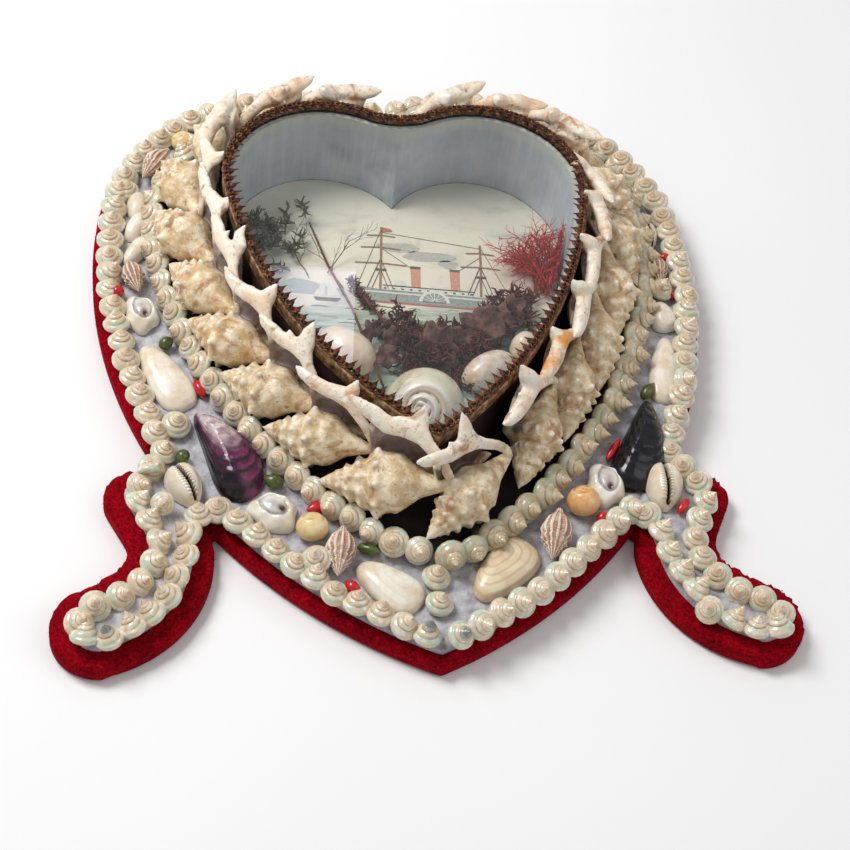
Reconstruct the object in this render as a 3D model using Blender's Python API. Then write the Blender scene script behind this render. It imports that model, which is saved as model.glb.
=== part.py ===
"""Victorian shellwork heart, lying on its back.

A velvet-covered heart board with two scroll feet carries a raised heart-shaped glazed case. Rows of small
top shells follow both edges, cowries, mussels, tellins and whelks fill the band between them, and a ring of
pelican's-foot shells leans on the case. The board's underside is at z = 0, and its tip points to -Y.
"""

import math
from collections import namedtuple

import bmesh
import bpy
from mathutils import Matrix, Vector

MM = 0.001
UP = Vector((0, 0, 1))
GAP = 0.3 * MM

# A heart outline: on each side a lobe circle runs on into a larger side arc, which ends at the tip.
Heart = namedtuple("Heart", "lobe_x lobe_y lobe_r side_r tip_y")
BOARD = Heart(38 * MM, 63.1 * MM, 85.9 * MM, 205.9 * MM, -142 * MM)
CASE = Heart(31.6 * MM, 61.2 * MM, 41.4 * MM, 188.7 * MM, -69.9 * MM)
LOBE_STEPS = 12
SIDE_STEPS = 6
TIP_STEPS = 2

BOARD_THICK = 7 * MM
BED_THICK = 3 * MM
BED_INSET = 2.5 * MM
FOOT_BED_INSET = 5.5 * MM
TERRACE_TOP = 14 * MM
TERRACE_WIDTH = 19 * MM

CASE_WALL = 3 * MM
WALL_TOP = 45.5 * MM
GLASS_THICK = 2.2 * MM
CARD_THICK = 1 * MM
TRIM_THICK = 1.8 * MM
TRIM_OUTSET = 1.2 * MM
TRIM_BAND = 1.6 * MM
TOOTH_LENGTH = 2.6 * MM
TOOTH_PITCH = 5.6 * MM

# The right foot's outline as arcs: centre x, centre y, radius, start and end in degrees, steps.
FOOT_ARCS = (
    (107.5 * MM, -67.5 * MM, 12 * MM, 105, -25, 7),
    (122.5 * MM, -91 * MM, 12 * MM, 155, 235, 5),
    (120.5 * MM, -124 * MM, 17.2 * MM, 78, -95, 9),
    (130 * MM, -91.5 * MM, 50 * MM, 256, 180, 6),
)
FOOT_ROOT = ((84 * MM, -70 * MM), (100.5 * MM, -46 * MM))
# The edge row leaves the heart for the right foot along a smooth line: down to the toe, and back up.
FOOT_ROW_DOWN = ((97.6, -51), (105, -60.5), (109, -70), (104.5, -81), (101, -92), (104, -104), (113.5, -113.5))
FOOT_ROW_TOE = ((125, -120), (129, -130), (119, -132.5))
FOOT_ROW_UP = ((107.5, -127.5), (98, -118), (92.5, -106), (88.5, -94), (87, -83.5), (81, -76), (74, -80))
FOOT_ROW_TOP = -48 * MM
FOOT_ROW_END = -84 * MM

TOP_RADIUS = 4.75 * MM
TOP_HEIGHT = 7.6 * MM
TOP_RIM = 2.4 * MM
TOP_REACH = TOP_RADIUS / math.cos(math.pi / 6)
TOP_PITCH = 9.35 * MM
OUTER_ROW_INSET = 5.8 * MM
INNER_ROW_OUTSET = 27.9 * MM
# Each row leans its shells by this many degrees away from the case.
OUTER_ROW_LEAN = {"left": -12, "right": 24}
INNER_ROW_LEAN = {"left": 20, "right": 32}

PELICAN_SIDES = 6
# Distances from the tip, along the ring, of each side's first two shells. Then they follow at the pitch.
PELICAN_FIRST = {"left": (24 * MM, 53 * MM), "right": (15 * MM, 56 * MM)}
PELICAN_PITCH = 28.4 * MM
PELICAN_COUNT = {"left": 10, "right": 10}
PELICAN_OUTSET = 17 * MM
PELICAN_AXIS_Z = 25.8 * MM
# A canal aims at a point this far along the ring and this far inside it.
PELICAN_AIM = 22 * MM
CANAL_INSET = 7 * MM
# The first shell on the right lies with its spire at the tip and its canal further out.
TIP_SHELL_INSET = 1.5 * MM
PELICAN_RISE = 12.5
LIP_TILT = 29
LIP_THICK = 2.2 * MM
# The turned body from canal to spire as (along, radius), and the lip as (along, away from the axis).
PELICAN_BODY = ((22, 1.2), (11.5, 4.3), (5, 8.4), (-2, 9.2), (-9, 6.7), (-16, 3.4), (-23, 0))
PELICAN_LIP = ((21, 0.6), (15.5, 8.5), (11, 17), (10, 29), (4, 21), (-7, 27.5), (-3, 16), (-5, 4), (10, 0))

# The larger shells in the band: name, form, x, y, turn in degrees from +X, length, width, height.
DOMES = (
    ("left_mussel", 1.7, -76, -53, -65, 42, 17.5, 9),
    ("left_cowrie", 2.0, -90, -66.5, -69, 17, 12, 8),
    ("left_ring_cowrie_upper", 2.2, -105.6, 18.3, -80, 15, 10, 7),
    ("left_ring_cowrie_lower", 2.2, -57.5, -78.5, -40, 16, 14, 7.5),
    ("left_tellin_upper", 2.4, -96.9, -13.8, -63, 34, 11.5, 4.5),
    ("left_tellin_lower", 2.4, -17.3, -110.8, -40, 26, 14, 5),
    ("left_periwinkle_lower", 2.0, -43.8, -89.6, 20, 11, 10, 8),
    ("left_periwinkle_top", 2.0, -87.3, 115.2, 38, 10, 5.4, 6),
    ("right_tellin_lower", 2.4, 26, -104.5, 48, 31, 14.5, 5),
    ("right_periwinkle_lower", 2.0, 60, -79, 20, 11, 10, 8),
    ("right_ring_cowrie", 2.2, 70, -67, -60, 16, 13.5, 7.5),
    ("right_mussel", 1.7, 86, -47.2, -112, 39, 14.5, 9),
    ("right_cowrie_lower", 2.0, 93, -68.5, -99, 17, 12, 8),
    ("right_tellin_upper", 2.4, 103.8, -8, -101, 33, 9.5, 4.5),
    ("right_clam", 2.2, 107.5, 20, -80, 14, 9, 6),
    ("right_cowrie_upper", 2.0, 109, 65, -90, 13, 7, 6.5),
    ("right_ring_cowrie_top", 2.2, 103, 94, 115, 13, 7, 6),
)
WHELKS = (
    ("left_whelk_upper", -109, 36, -75, 16, 7.5),
    ("left_whelk_lower", -34.5, -98.5, -99, 21, 9.5),
    ("left_whelk_top", -100, 99.6, -122, 18, 7),
    ("right_whelk_lower", 46.5, -91.5, -105, 23, 10),
    ("right_whelk_upper", 109.2, 44, -90, 16, 7),
)
OVALS = ("left_ovals", -108.2, ((77, 13), (65, 13), (52.6, 14)), 5, 5)
# A whelk's outline as shares of its length and width, from the canal to the apex.
WHELK_FORM = ((-0.5, 0.12), (-0.3, 0.34), (-0.08, 0.5), (0.12, 0.4), (0.5, 0.0))


def circle_point(centre, radius, angle):
    return centre + Vector((math.cos(angle), math.sin(angle))) * radius


def arc(centre, radius, start, end, steps):
    """Points from start to end, in radians, with both ends."""
    return [circle_point(centre, radius, start + (end - start) * i / steps) for i in range(steps + 1)]


def side_centre(heart):
    """The centre of the right side's arc: it touches the lobe circle and passes through the tip."""
    lobe = Vector((heart.lobe_x, heart.lobe_y))
    across = Vector((0, heart.tip_y)) - lobe
    near = heart.side_r - heart.lobe_r
    along = (across.length_squared + near**2 - heart.side_r**2) / (2 * across.length)
    aside = math.sqrt(near**2 - along**2)
    direction = across.normalized()
    return lobe + direction * along + Vector((direction.y, -direction.x)) * aside


def half_heart(heart, offset=0.0):
    """The right half of the outline moved outwards by offset, from the cleft down to the tip."""
    lobe = Vector((heart.lobe_x, heart.lobe_y))
    tip = Vector((0, heart.tip_y))
    side = side_centre(heart)
    cleft = math.pi - math.acos(heart.lobe_x / (heart.lobe_r + offset))
    turn = math.atan2(lobe.y - side.y, lobe.x - side.x)
    points = arc(lobe, heart.lobe_r + offset, cleft, turn, LOBE_STEPS)
    if offset > 0:
        end = math.atan2(tip.y - side.y, tip.x - side.x)
    else:
        end = -math.acos(-side.x / (heart.side_r + offset))
    points += arc(side, heart.side_r + offset, turn, end, SIDE_STEPS)[1:]
    if offset > 0:
        points += arc(tip, offset, end, -math.pi / 2, TIP_STEPS)[1:]
    return points


def mirrored(points):
    return [Vector((-p.x, p.y)) for p in points]


def heart_outline(heart, offset=0.0):
    """The whole closed outline: the right half down to the tip, then the left half back up."""
    half = half_heart(heart, offset)
    return half + mirrored(half[1:-1])[::-1]


def foot_outline(inset=0.0):
    """The right foot's closed outline, whose root lies inside the heart."""
    points = []
    for x, y, radius, start, end, steps in FOOT_ARCS:
        hollow = (x, y) == FOOT_ARCS[1][:2]
        reach = radius + inset if hollow else radius - inset
        points += arc(Vector((x, y)), reach, math.radians(start), math.radians(end), steps)
    return points + [Vector(p) for p in FOOT_ROOT]


def smooth_line(points, steps=8):
    """A Catmull-Rom line through points given in millimetres."""
    knots = [Vector(p) * MM for p in points]
    knots = [knots[0] * 2 - knots[1]] + knots + [knots[-1] * 2 - knots[-2]]
    line = []
    for a, b, c, d in zip(knots, knots[1:], knots[2:], knots[3:]):
        for i in range(steps):
            t = i / steps
            bend = (a * 2 - b * 5 + c * 4 - d) * t**2 + (b * 3 - a - c * 3 + d) * t**3
            line.append((b * 2 + (c - a) * t + bend) / 2)
    return line + [knots[-2]]


def length_of(path):
    return sum((b - a).length for a, b in zip(path, path[1:]))


def station(path, distance):
    """The point at this distance along a path, and the path's direction there."""
    for a, b in zip(path, path[1:]):
        step = (b - a).length
        if distance <= step:
            break
        distance -= step
    direction = (b - a).normalized()
    return a + direction * distance, direction


def stations(path, pitch, radius):
    """Evenly spaced stations, about this far apart, whose first and last keep this radius clear of X = 0."""
    begin = radius / max(abs((path[1] - path[0]).normalized().x), 0.5)
    end = length_of(path) - radius / max(abs((path[-1] - path[-2]).normalized().x), 0.5)
    count = math.ceil((end - begin) / pitch)
    return [station(path, begin + (end - begin) * i / count) for i in range(count + 1)]


def prism(outline, bottom, top):
    """A closed body between two heights."""
    count = len(outline)
    points = [Vector((*p, z)) for z in (bottom, top) for p in outline]
    faces = [tuple(range(count)), tuple(range(count, 2 * count))]
    faces += [(i, (i + 1) % count, (i + 1) % count + count, i + count) for i in range(count)]
    return points, faces


def skin(rings, apex=None):
    """A closed body over a row of rings with the same number of points, up to a flat end or an apex."""
    count = len(rings[0])
    points = [p for ring in rings for p in ring]
    last = len(points) - count
    faces = [tuple(range(count))]
    for row in range(len(rings) - 1):
        for i in range(count):
            j = (i + 1) % count
            faces.append((row * count + i, row * count + j, (row + 1) * count + j, (row + 1) * count + i))
    if apex is None:
        faces.append(tuple(range(last, last + count)))
    else:
        faces += [(last + i, last + (i + 1) % count, last + count) for i in range(count)]
        points.append(apex)
    return points, faces


def spindle(profile, sides):
    """A body turned about X from (along, radius) pairs, with its apex at the last one."""
    turns = [2 * math.pi * i / sides for i in range(sides)]
    rings = [[Vector((x, r * math.cos(t), r * math.sin(t))) for t in turns] for x, r in profile[:-1]]
    return skin(rings, Vector((profile[-1][0], 0, 0)))


def dome(length, width, height, fullness, sides=5, stations_count=5):
    """A shell lying on its flat side along X. Fullness is the exponent of its outline: 2 is an ellipse."""
    rings = []
    for i in range(stations_count):
        along = -math.cos(math.pi * (i + 0.5) / stations_count) / math.cos(math.pi * 0.5 / stations_count)
        swell = (1 - abs(along * 0.96) ** fullness) ** (1 / fullness)
        ring = []
        for k in range(sides + 1):
            turn = math.pi * k / sides
            across = math.cos(turn) * width / 2 * swell
            ring.append(Vector((along * length / 2, across, math.sin(turn) * height * swell)))
        rings.append(ring)
    return skin(rings)


def moved(body, matrix):
    points, faces = body
    return [matrix @ p for p in points], faces


def frame_matrix(origin, x_axis, z_axis):
    """A placement with this X axis, and its Z axis as near to z_axis as that allows."""
    x = x_axis.normalized()
    y = z_axis.cross(x).normalized()
    z = x.cross(y)
    matrix = Matrix((x, y, z)).transposed().to_4x4()
    matrix.translation = origin
    return matrix


def material(name, colour, roughness, metallic=0.0):
    made = bpy.data.materials.new(name)
    made.use_nodes = True
    shader = made.node_tree.nodes["Principled BSDF"]
    shader.inputs["Base Color"].default_value = (*colour, 1)
    shader.inputs["Roughness"].default_value = roughness
    shader.inputs["Metallic"].default_value = metallic
    made.diffuse_color = (*colour, 1)
    return made


def add_object(name, bodies, look, placement=None):
    """One object holding these closed bodies, with its faces turned outwards."""
    work = bmesh.new()
    for points, faces in bodies:
        made = [work.verts.new(p) for p in points]
        for face in faces:
            work.faces.new([made[i] for i in face])
    bmesh.ops.recalc_face_normals(work, faces=work.faces)
    mesh = bpy.data.meshes.new(name)
    work.to_mesh(mesh)
    work.free()
    mesh.materials.append(look)
    obj = bpy.data.objects.new(name, mesh)
    bpy.context.scene.collection.objects.link(obj)
    if placement is not None:
        obj.matrix_world = placement
    return obj


def shade_round(obj, angle=40):
    obj.data.shade_smooth()
    obj.data.set_sharp_from_angle(angle=math.radians(angle))


def combine(target, tool, operation):
    """Joins the tool to the target or cuts it away, and keeps the tool as a hidden guide."""
    modifier = target.modifiers.new(operation.title(), "BOOLEAN")
    modifier.operation = operation
    modifier.object = tool
    modifier.use_self = True
    tool.hide_render = True
    tool.display_type = "WIRE"


def board_shape(name, heart_inset, foot_inset, bottom, top, look):
    """A heart on its two feet, inset from the board's edges."""
    obj = add_object(name, [prism(heart_outline(BOARD, -heart_inset), bottom, top)], look)
    foot = foot_outline(foot_inset)
    feet = [prism(side, bottom, top) for side in (foot, mirrored(foot))]
    combine(obj, add_object(name + "_feet", feet, look), "UNION")
    return obj


def make_base_board():
    velvet = material("red_velvet", (0.36, 0.01, 0.02), 0.95)
    board_shape("base_board", 0, 0, 0, BOARD_THICK, velvet)


def make_shell_bed():
    """The cement that the shells are set in, with a low terrace round the case."""
    cement = material("shell_cement", (0.72, 0.7, 0.75), 0.9)
    bottom = BOARD_THICK + GAP
    bed = board_shape("shell_bed", BED_INSET, FOOT_BED_INSET, bottom, bottom + BED_THICK, cement)
    terrace = prism(heart_outline(CASE, TERRACE_WIDTH), bottom + BED_THICK / 2, TERRACE_TOP)
    combine(bed, add_object("shell_bed_terrace", [terrace], cement), "UNION")
    hole = prism(heart_outline(CASE, GAP), 0, WALL_TOP)
    combine(bed, add_object("shell_bed_hole", [hole], cement), "DIFFERENCE")
    return bottom + BED_THICK


def make_case():
    """The heart-shaped box: its wall, the picture on its floor, its glass and the toothed braid."""
    floor = BOARD_THICK + GAP
    paper = material("case_paper", (0.24, 0.03, 0.04), 0.7)
    wall = add_object("case_wall", [prism(heart_outline(CASE), floor, WALL_TOP)], paper)
    room = prism(heart_outline(CASE, -CASE_WALL), 0, 2 * WALL_TOP)
    combine(wall, add_object("case_wall_room", [room], paper), "DIFFERENCE")

    print_look = material("picture_paper", (0.75, 0.72, 0.62), 0.8)
    card = prism(heart_outline(CASE, -CASE_WALL - GAP), floor, floor + CARD_THICK)
    add_object("picture_card", [card], print_look)

    glass = material("pane_glass", (0.85, 0.9, 0.9), 0.05)
    glass_bottom = WALL_TOP + GAP
    glass_top = glass_bottom + GLASS_THICK
    add_object("glass_pane", [prism(heart_outline(CASE), glass_bottom, glass_top)], glass)

    braid = material("braid_trim", (0.12, 0.05, 0.03), 0.6, 0.3)
    trim_bottom = glass_top + GAP
    band = prism(heart_outline(CASE, TRIM_OUTSET), trim_bottom, trim_bottom + TRIM_THICK)
    trim = add_object("braid_trim", [band], braid)
    combine(trim, add_object("braid_teeth", [prism(toothed_opening(), 0, 2 * WALL_TOP)], braid), "DIFFERENCE")


def toothed_opening():
    """The opening inside the braid, whose edge is a row of pointed teeth."""
    roots = half_heart(CASE, TRIM_OUTSET - 2 * TRIM_BAND)
    count = round(length_of(roots) / TOOTH_PITCH)
    points = []
    for i in range(2 * count):
        place, direction = station(roots, length_of(roots) * (i + 0.5) / (2 * count))
        inward = Vector((direction.y, -direction.x))
        points.append(place + inward * (TOOTH_LENGTH * (i % 2)))
    return points + mirrored(points)[::-1]


def on_side(side, point):
    return Vector((-point.x, point.y)) if side == "left" else point


def shell_frame(place, direction, side, lean, floor):
    """A small shell's placement on the bed: X along its row, Z up its axis, leaning away from the case."""
    turn = math.radians(lean)
    outward = on_side(side, Vector((-direction.y, direction.x))).to_3d()
    axis = UP * math.cos(turn) + outward * math.sin(turn)
    lift = GAP + TOP_REACH * abs(math.sin(turn))
    origin = on_side(side, place).to_3d() + UP * (floor + lift)
    return frame_matrix(origin, on_side(side, direction).to_3d(), axis)


def shell_chain(frames):
    """Six-sided top shells in a row as one closed body: each shares its flat sides with its neighbours."""
    flat = TOP_RADIUS * math.tan(math.pi / 6)
    points = []
    faces = []

    def joint(before, after):
        """The four corners where two shells meet: left bottom, left top, right bottom, right top."""
        start = len(points)
        for y in (flat, -flat):
            for z in (0, TOP_RIM):
                one = (before or after) @ Vector((TOP_RADIUS if before else -TOP_RADIUS, y, z))
                other = (after or before) @ Vector((-TOP_RADIUS if after else TOP_RADIUS, y, z))
                points.append((one + other) / 2)
        return start

    back = joint(None, frames[0])
    faces.append((back, back + 1, back + 3, back + 2))
    for here, ahead in zip(frames, frames[1:] + [None]):
        corners = len(points)
        points.extend(here @ Vector((0, y, z)) for y in (TOP_REACH, -TOP_REACH) for z in (0, TOP_RIM))
        apex = len(points)
        points.append(here @ Vector((0, 0, TOP_HEIGHT)))
        front = joint(here, ahead)
        bottom = (back, corners, front, front + 2, corners + 2, back + 2)
        faces.append(bottom)
        for i, j in zip(bottom, bottom[1:] + bottom[:1]):
            faces.append((i + 1, j + 1, apex))
            if (i, j) not in ((front, front + 2), (back + 2, back)):
                faces.append((i, j, j + 1, i + 1))
        back = front
    faces.append((back, back + 1, back + 3, back + 2))
    return points, faces


def add_row(name, stretches, side, floor, look, clear=0.0):
    """One row of shells along stretches of path, each with its own lean."""
    path = [point for stretch, _ in stretches for point in stretch]
    frames = []
    for place, direction in stations(path, TOP_PITCH, clear):
        lean = min(stretches, key=lambda s: min((p - place).length for p in s[0]))[1]
        frames.append(shell_frame(place, direction, side, lean, floor))
    shade_round(add_object(name, [shell_chain(frames)], look))


def make_rows(floor):
    """The rows of top shells along the board's edge and feet, round the case, and down to the tip."""
    pearl = material("pearl_top_shell", (0.78, 0.74, 0.62), 0.3)
    edge = half_heart(BOARD, -OUTER_ROW_INSET)
    upper = [p for p in edge if p.y > FOOT_ROW_TOP]
    lower = [p for p in edge if p.y < FOOT_ROW_END]
    foot = smooth_line(FOOT_ROW_DOWN + FOOT_ROW_TOE + FOOT_ROW_UP)
    inner = half_heart(CASE, INNER_ROW_OUTSET)
    clear = TOP_RADIUS * 1.2
    for side in ("left", "right"):
        lean = OUTER_ROW_LEAN[side]
        add_row(f"edge_row_{side}", [(upper, lean), (foot, 0), (lower, lean)], side, floor, pearl, clear)
        add_row(f"inner_row_{side}", [(inner, INNER_ROW_LEAN[side])], side, floor, pearl, clear)
    top = inner[-1].y - 1.1 * TOP_PITCH
    bottom = edge[-1].y + 1.8 * TOP_PITCH
    add_row("tip_column", [([Vector((0, top)), Vector((0, bottom))], 0)], "right", floor, pearl)


def pelican_body():
    return spindle([(x * MM, r * MM) for x, r in PELICAN_BODY], PELICAN_SIDES)


def pelican_lip():
    """The flared lip, a plate in the plane of the shell's axis."""
    flat = prism([Vector(p) * MM for p in PELICAN_LIP], -LIP_THICK / 2, LIP_THICK / 2)
    return moved(flat, Matrix.Rotation(math.pi / 2, 4, "X"))


def ring_place(side, distance):
    """A point on the ring of large shells at this distance from the tip, and the way out from the case."""
    place, away = station(half_heart(CASE, PELICAN_OUTSET)[::-1], distance)
    return on_side(side, place).to_3d(), on_side(side, Vector((away.y, -away.x))).to_3d()


def pelican_placement(side, index):
    """The canal aims along the ring and in to the case: towards the tip on the left, away from it on the right."""
    first, second = PELICAN_FIRST[side]
    distance = first if index == 0 else second + (index - 1) * PELICAN_PITCH
    ahead = PELICAN_AIM if side == "right" else -PELICAN_AIM
    inset = TIP_SHELL_INSET if side == "right" and index == 0 else CANAL_INSET
    place, outward = ring_place(side, distance)
    target, outward_there = ring_place(side, distance + ahead)
    flat = (target - outward_there * inset - place).normalized()
    rise = math.radians(PELICAN_RISE)
    axis = flat * math.cos(rise) + UP * math.sin(rise)
    lip = UP * math.cos(math.radians(LIP_TILT)) - outward * math.sin(math.radians(LIP_TILT))
    return frame_matrix(place + UP * PELICAN_AXIS_Z, axis, lip)


def make_pelicans():
    """The ring of pelican's-foot shells round the case."""
    nacre = material("pelican_shell", (0.8, 0.7, 0.5), 0.45)
    for side in ("left", "right"):
        for index in range(PELICAN_COUNT[side]):
            name = f"pelican_foot_{side}_{index + 1}"
            placement = pelican_placement(side, index)
            shell = add_object(name, [pelican_body()], nacre, placement)
            combine(shell, add_object(name + "_lip", [pelican_lip()], nacre, placement), "UNION")
            shade_round(shell)


def laid(x, y, turn, floor):
    """A placement on the floor, turned about Z; x and y are in millimetres."""
    place = Matrix.Translation(Vector((x * MM, y * MM, floor + GAP)))
    return place @ Matrix.Rotation(math.radians(turn), 4, "Z")


def whelk(length, width, sides=6):
    """A whelk lying on its side, its canal towards -X."""
    profile = [(x * length * MM, r * width * MM) for x, r in WHELK_FORM]
    return moved(spindle(profile, sides), Matrix.Translation(UP * width * MM / 2))


def make_band_shells(floor):
    """The larger shells between the two rows, each its own piece."""
    look = material("band_shell", (0.75, 0.66, 0.52), 0.35)
    for name, fullness, x, y, turn, length, width, height in DOMES:
        body = dome(length * MM, width * MM, height * MM, fullness)
        shade_round(add_object(name, [body], look, laid(x, y, turn, floor)))
    for name, x, y, turn, length, width in WHELKS:
        shade_round(add_object(name, [whelk(length, width)], look, laid(x, y, turn, floor)))
    name, x, places, width, height = OVALS
    bodies = []
    for y, length in places:
        oval = dome(length * MM, width * MM, height * MM, 2.2, sides=4, stations_count=4)
        bodies.append(moved(oval, laid(x, y, 90, floor)))
    ovals = add_object(name, bodies[::2], look)
    combine(ovals, add_object(name + "_joined", bodies[1::2], look), "UNION")
    shade_round(ovals)


def main():
    for obj in list(bpy.data.objects):
        bpy.data.objects.remove(obj)
    make_base_board()
    floor = make_shell_bed()
    make_rows(floor)
    make_band_shells(floor)
    make_pelicans()
    make_case()


main()
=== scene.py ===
"""Looks for the shellwork heart: velvet board, seashells, and the glazed case with its print and seaweed."""

import math

import bmesh
import bpy
import numpy as np
from mathutils import Matrix, Vector


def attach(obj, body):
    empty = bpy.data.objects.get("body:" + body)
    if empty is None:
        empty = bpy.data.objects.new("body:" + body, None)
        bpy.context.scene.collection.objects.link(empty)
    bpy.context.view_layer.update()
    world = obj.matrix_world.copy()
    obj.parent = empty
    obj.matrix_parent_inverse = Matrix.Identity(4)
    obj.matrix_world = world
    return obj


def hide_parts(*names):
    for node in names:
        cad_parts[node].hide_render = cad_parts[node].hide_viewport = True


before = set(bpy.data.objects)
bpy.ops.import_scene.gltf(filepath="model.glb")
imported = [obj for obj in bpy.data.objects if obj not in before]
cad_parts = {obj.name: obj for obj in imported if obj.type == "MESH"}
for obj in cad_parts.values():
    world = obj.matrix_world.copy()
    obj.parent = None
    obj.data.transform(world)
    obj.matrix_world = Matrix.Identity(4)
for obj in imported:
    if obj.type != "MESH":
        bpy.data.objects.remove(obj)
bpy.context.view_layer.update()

MM = 0.001
RNG = np.random.default_rng(41)
UP = np.array([0.0, 0.0, 1.0])

# ---------------------------------------------------------------- layout, in millimetres, as in the part
# A heart is its lobe's centre x and y, the lobe's radius, the side's radius and the tip's y.
BOARD = (38, 63.1, 85.9, 205.9, -142)
CASE = (31.6, 61.2, 41.4, 188.7, -69.9)
# A foot's arc is its centre x and y, its radius, and the angles where it starts and ends.
FOOT_ARCS = (
    (107.5, -67.5, 12, 105, -25),
    (122.5, -91, 12, 155, 235),
    (120.5, -124, 17.2, 78, -95),
    (130, -91.5, 50, 256, 180),
)
FOOT_HOLLOW = 1  # the one arc that curves into the foot
FOOT_ROOT = ((84, -70), (100.5, -46))
FOOT_ROW = (
    (97.6, -51), (105, -60.5), (109, -70), (104.5, -81), (101, -92), (104, -104), (113.5, -113.5),
    (125, -120), (129, -130), (119, -132.5),
    (107.5, -127.5), (98, -118), (92.5, -106), (88.5, -94), (87, -83.5), (81, -76), (74, -80),
)
FOOT_ROW_TOP = -48
FOOT_ROW_END = -84
BED_TOP = 10.3
CARD_TOP = 8.3
WALL_TOP = 45.5
GLASS_BOTTOM = 45.8
GLASS_TOP = 48.0
TRIM_BOTTOM = 48.3
CLEFT_LOW, CLEFT_RISE, CLEFT_REACH = 95.2, 4.1, 16.5
TOP_PITCH = 9.35
TOP_RADIUS = 4.75


def circle_point(centre, radius, angle):
    return np.array(centre) + radius * np.array([math.cos(angle), math.sin(angle)])


def arc(centre, radius, start, end, steps):
    return [circle_point(centre, radius, start + (end - start) * i / steps) for i in range(steps + 1)]


def half_heart(heart, offset, lobe_steps=12, side_steps=6, tip_steps=2):
    """The right half of a heart outline moved outwards, from the cleft down to the tip."""
    lobe_x, lobe_y, lobe_r, side_r, tip_y = heart
    lobe = np.array([lobe_x, lobe_y])
    across = np.array([0, tip_y]) - lobe
    near = side_r - lobe_r
    span = np.linalg.norm(across)
    along = (span**2 + near**2 - side_r**2) / (2 * span)
    aside = math.sqrt(near**2 - along**2)
    direction = across / span
    side = lobe + direction * along + np.array([direction[1], -direction[0]]) * aside
    cleft = math.pi - math.acos(lobe_x / (lobe_r + offset))
    turn = math.atan2(lobe_y - side[1], lobe_x - side[0])
    points = arc(lobe, lobe_r + offset, cleft, turn, lobe_steps)
    if offset > 0:
        end = math.atan2(tip_y - side[1], -side[0])
    else:
        end = -math.acos(-side[0] / (side_r + offset))
    points += arc(side, side_r + offset, turn, end, side_steps)[1:]
    if offset > 0:
        points += arc((0, tip_y), offset, end, -math.pi / 2, tip_steps)[1:]
    return np.array(points)


def heart_outline(heart, offset=0.0, steps=(60, 60, 8)):
    half = half_heart(heart, offset, *steps)
    return np.vstack([half, (half[1:-1] * [-1, 1])[::-1]])


def eased(outline, offset=0.0, share=1.0):
    """An outline of the case whose sharp cleft is filled, by a share, to a shallow curve."""
    x, y = outline.T
    fill = CLEFT_LOW + offset + CLEFT_RISE * (x / CLEFT_REACH) ** 2
    near = (np.abs(x) < CLEFT_REACH + 1) & (y > 0)
    return np.column_stack([x, np.where(near, y + share * np.maximum(fill - y, 0), y)])


def foot_outline(inset):
    points = []
    for i, (x, y, radius, start, end) in enumerate(FOOT_ARCS):
        reach = radius + inset if i == FOOT_HOLLOW else radius - inset
        points += arc((x, y), reach, math.radians(start), math.radians(end), 24)
    return np.array(points + [np.array(p, float) for p in FOOT_ROOT])


def smooth_line(points, steps=8):
    knots = [np.array(p, float) for p in points]
    knots = [knots[0] * 2 - knots[1]] + knots + [knots[-1] * 2 - knots[-2]]
    line = []
    for a, b, c, d in zip(knots, knots[1:], knots[2:], knots[3:]):
        for i in range(steps):
            t = i / steps
            bend = (a * 2 - b * 5 + c * 4 - d) * t**2 + (b * 3 - a - c * 3 + d) * t**3
            line.append((b * 2 + (c - a) * t + bend) / 2)
    return np.array(line + [knots[-2]])


def length_of(path):
    return float(np.linalg.norm(np.diff(path, axis=0), axis=1).sum())


def station(path, distance):
    for a, b in zip(path, path[1:]):
        step = np.linalg.norm(b - a)
        if distance <= step:
            break
        distance -= step
    direction = (b - a) / step
    return a + direction * distance, direction


def clear_of_middle(step, radius):
    """How far along a path's end step a shell stands, so that it doesn't meet its twin on the other side."""
    return radius / max(abs(step[0]) / np.linalg.norm(step), 0.5)


def stations(path, pitch, radius):
    """Even places along a path, at most a pitch apart, each with the direction there."""
    begin = clear_of_middle(path[1] - path[0], radius)
    end = length_of(path) - clear_of_middle(path[-1] - path[-2], radius)
    count = math.ceil((end - begin) / pitch)
    return [station(path, begin + (end - begin) * i / count) for i in range(count + 1)]


def on_side(side, point):
    point = np.array(point, float)
    if side == "left":
        point[0] = -point[0]
    return point


def unit(v):
    return v / np.linalg.norm(v)


def unit_rows(v):
    return v / np.maximum(np.linalg.norm(v, axis=1), 1e-9)[:, None]


def flat3(p, z=0.0):
    return np.array([p[0], p[1], z])


def at_level(outline, z):
    return np.column_stack([outline, np.full(len(outline), z)])


def round_angles(count):
    return np.arange(count) * 2 * math.pi / count


def grid_points(xs, ys):
    return np.stack(np.meshgrid(xs, ys, indexing="ij"), axis=2).reshape(-1, 2)


def frame_axes(x_axis, z_axis):
    x = unit(x_axis)
    y = unit(np.cross(z_axis, x))
    return np.stack([x, y, np.cross(x, y)], axis=1)


def spin(angle, axis):
    return np.array(Matrix.Rotation(angle, 3, Vector(axis)))


# ---------------------------------------------------------------- mesh building
def placed(name, data):
    """A new object of the scene."""
    obj = bpy.data.objects.new(name, data)
    bpy.context.scene.collection.objects.link(obj)
    return obj


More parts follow.
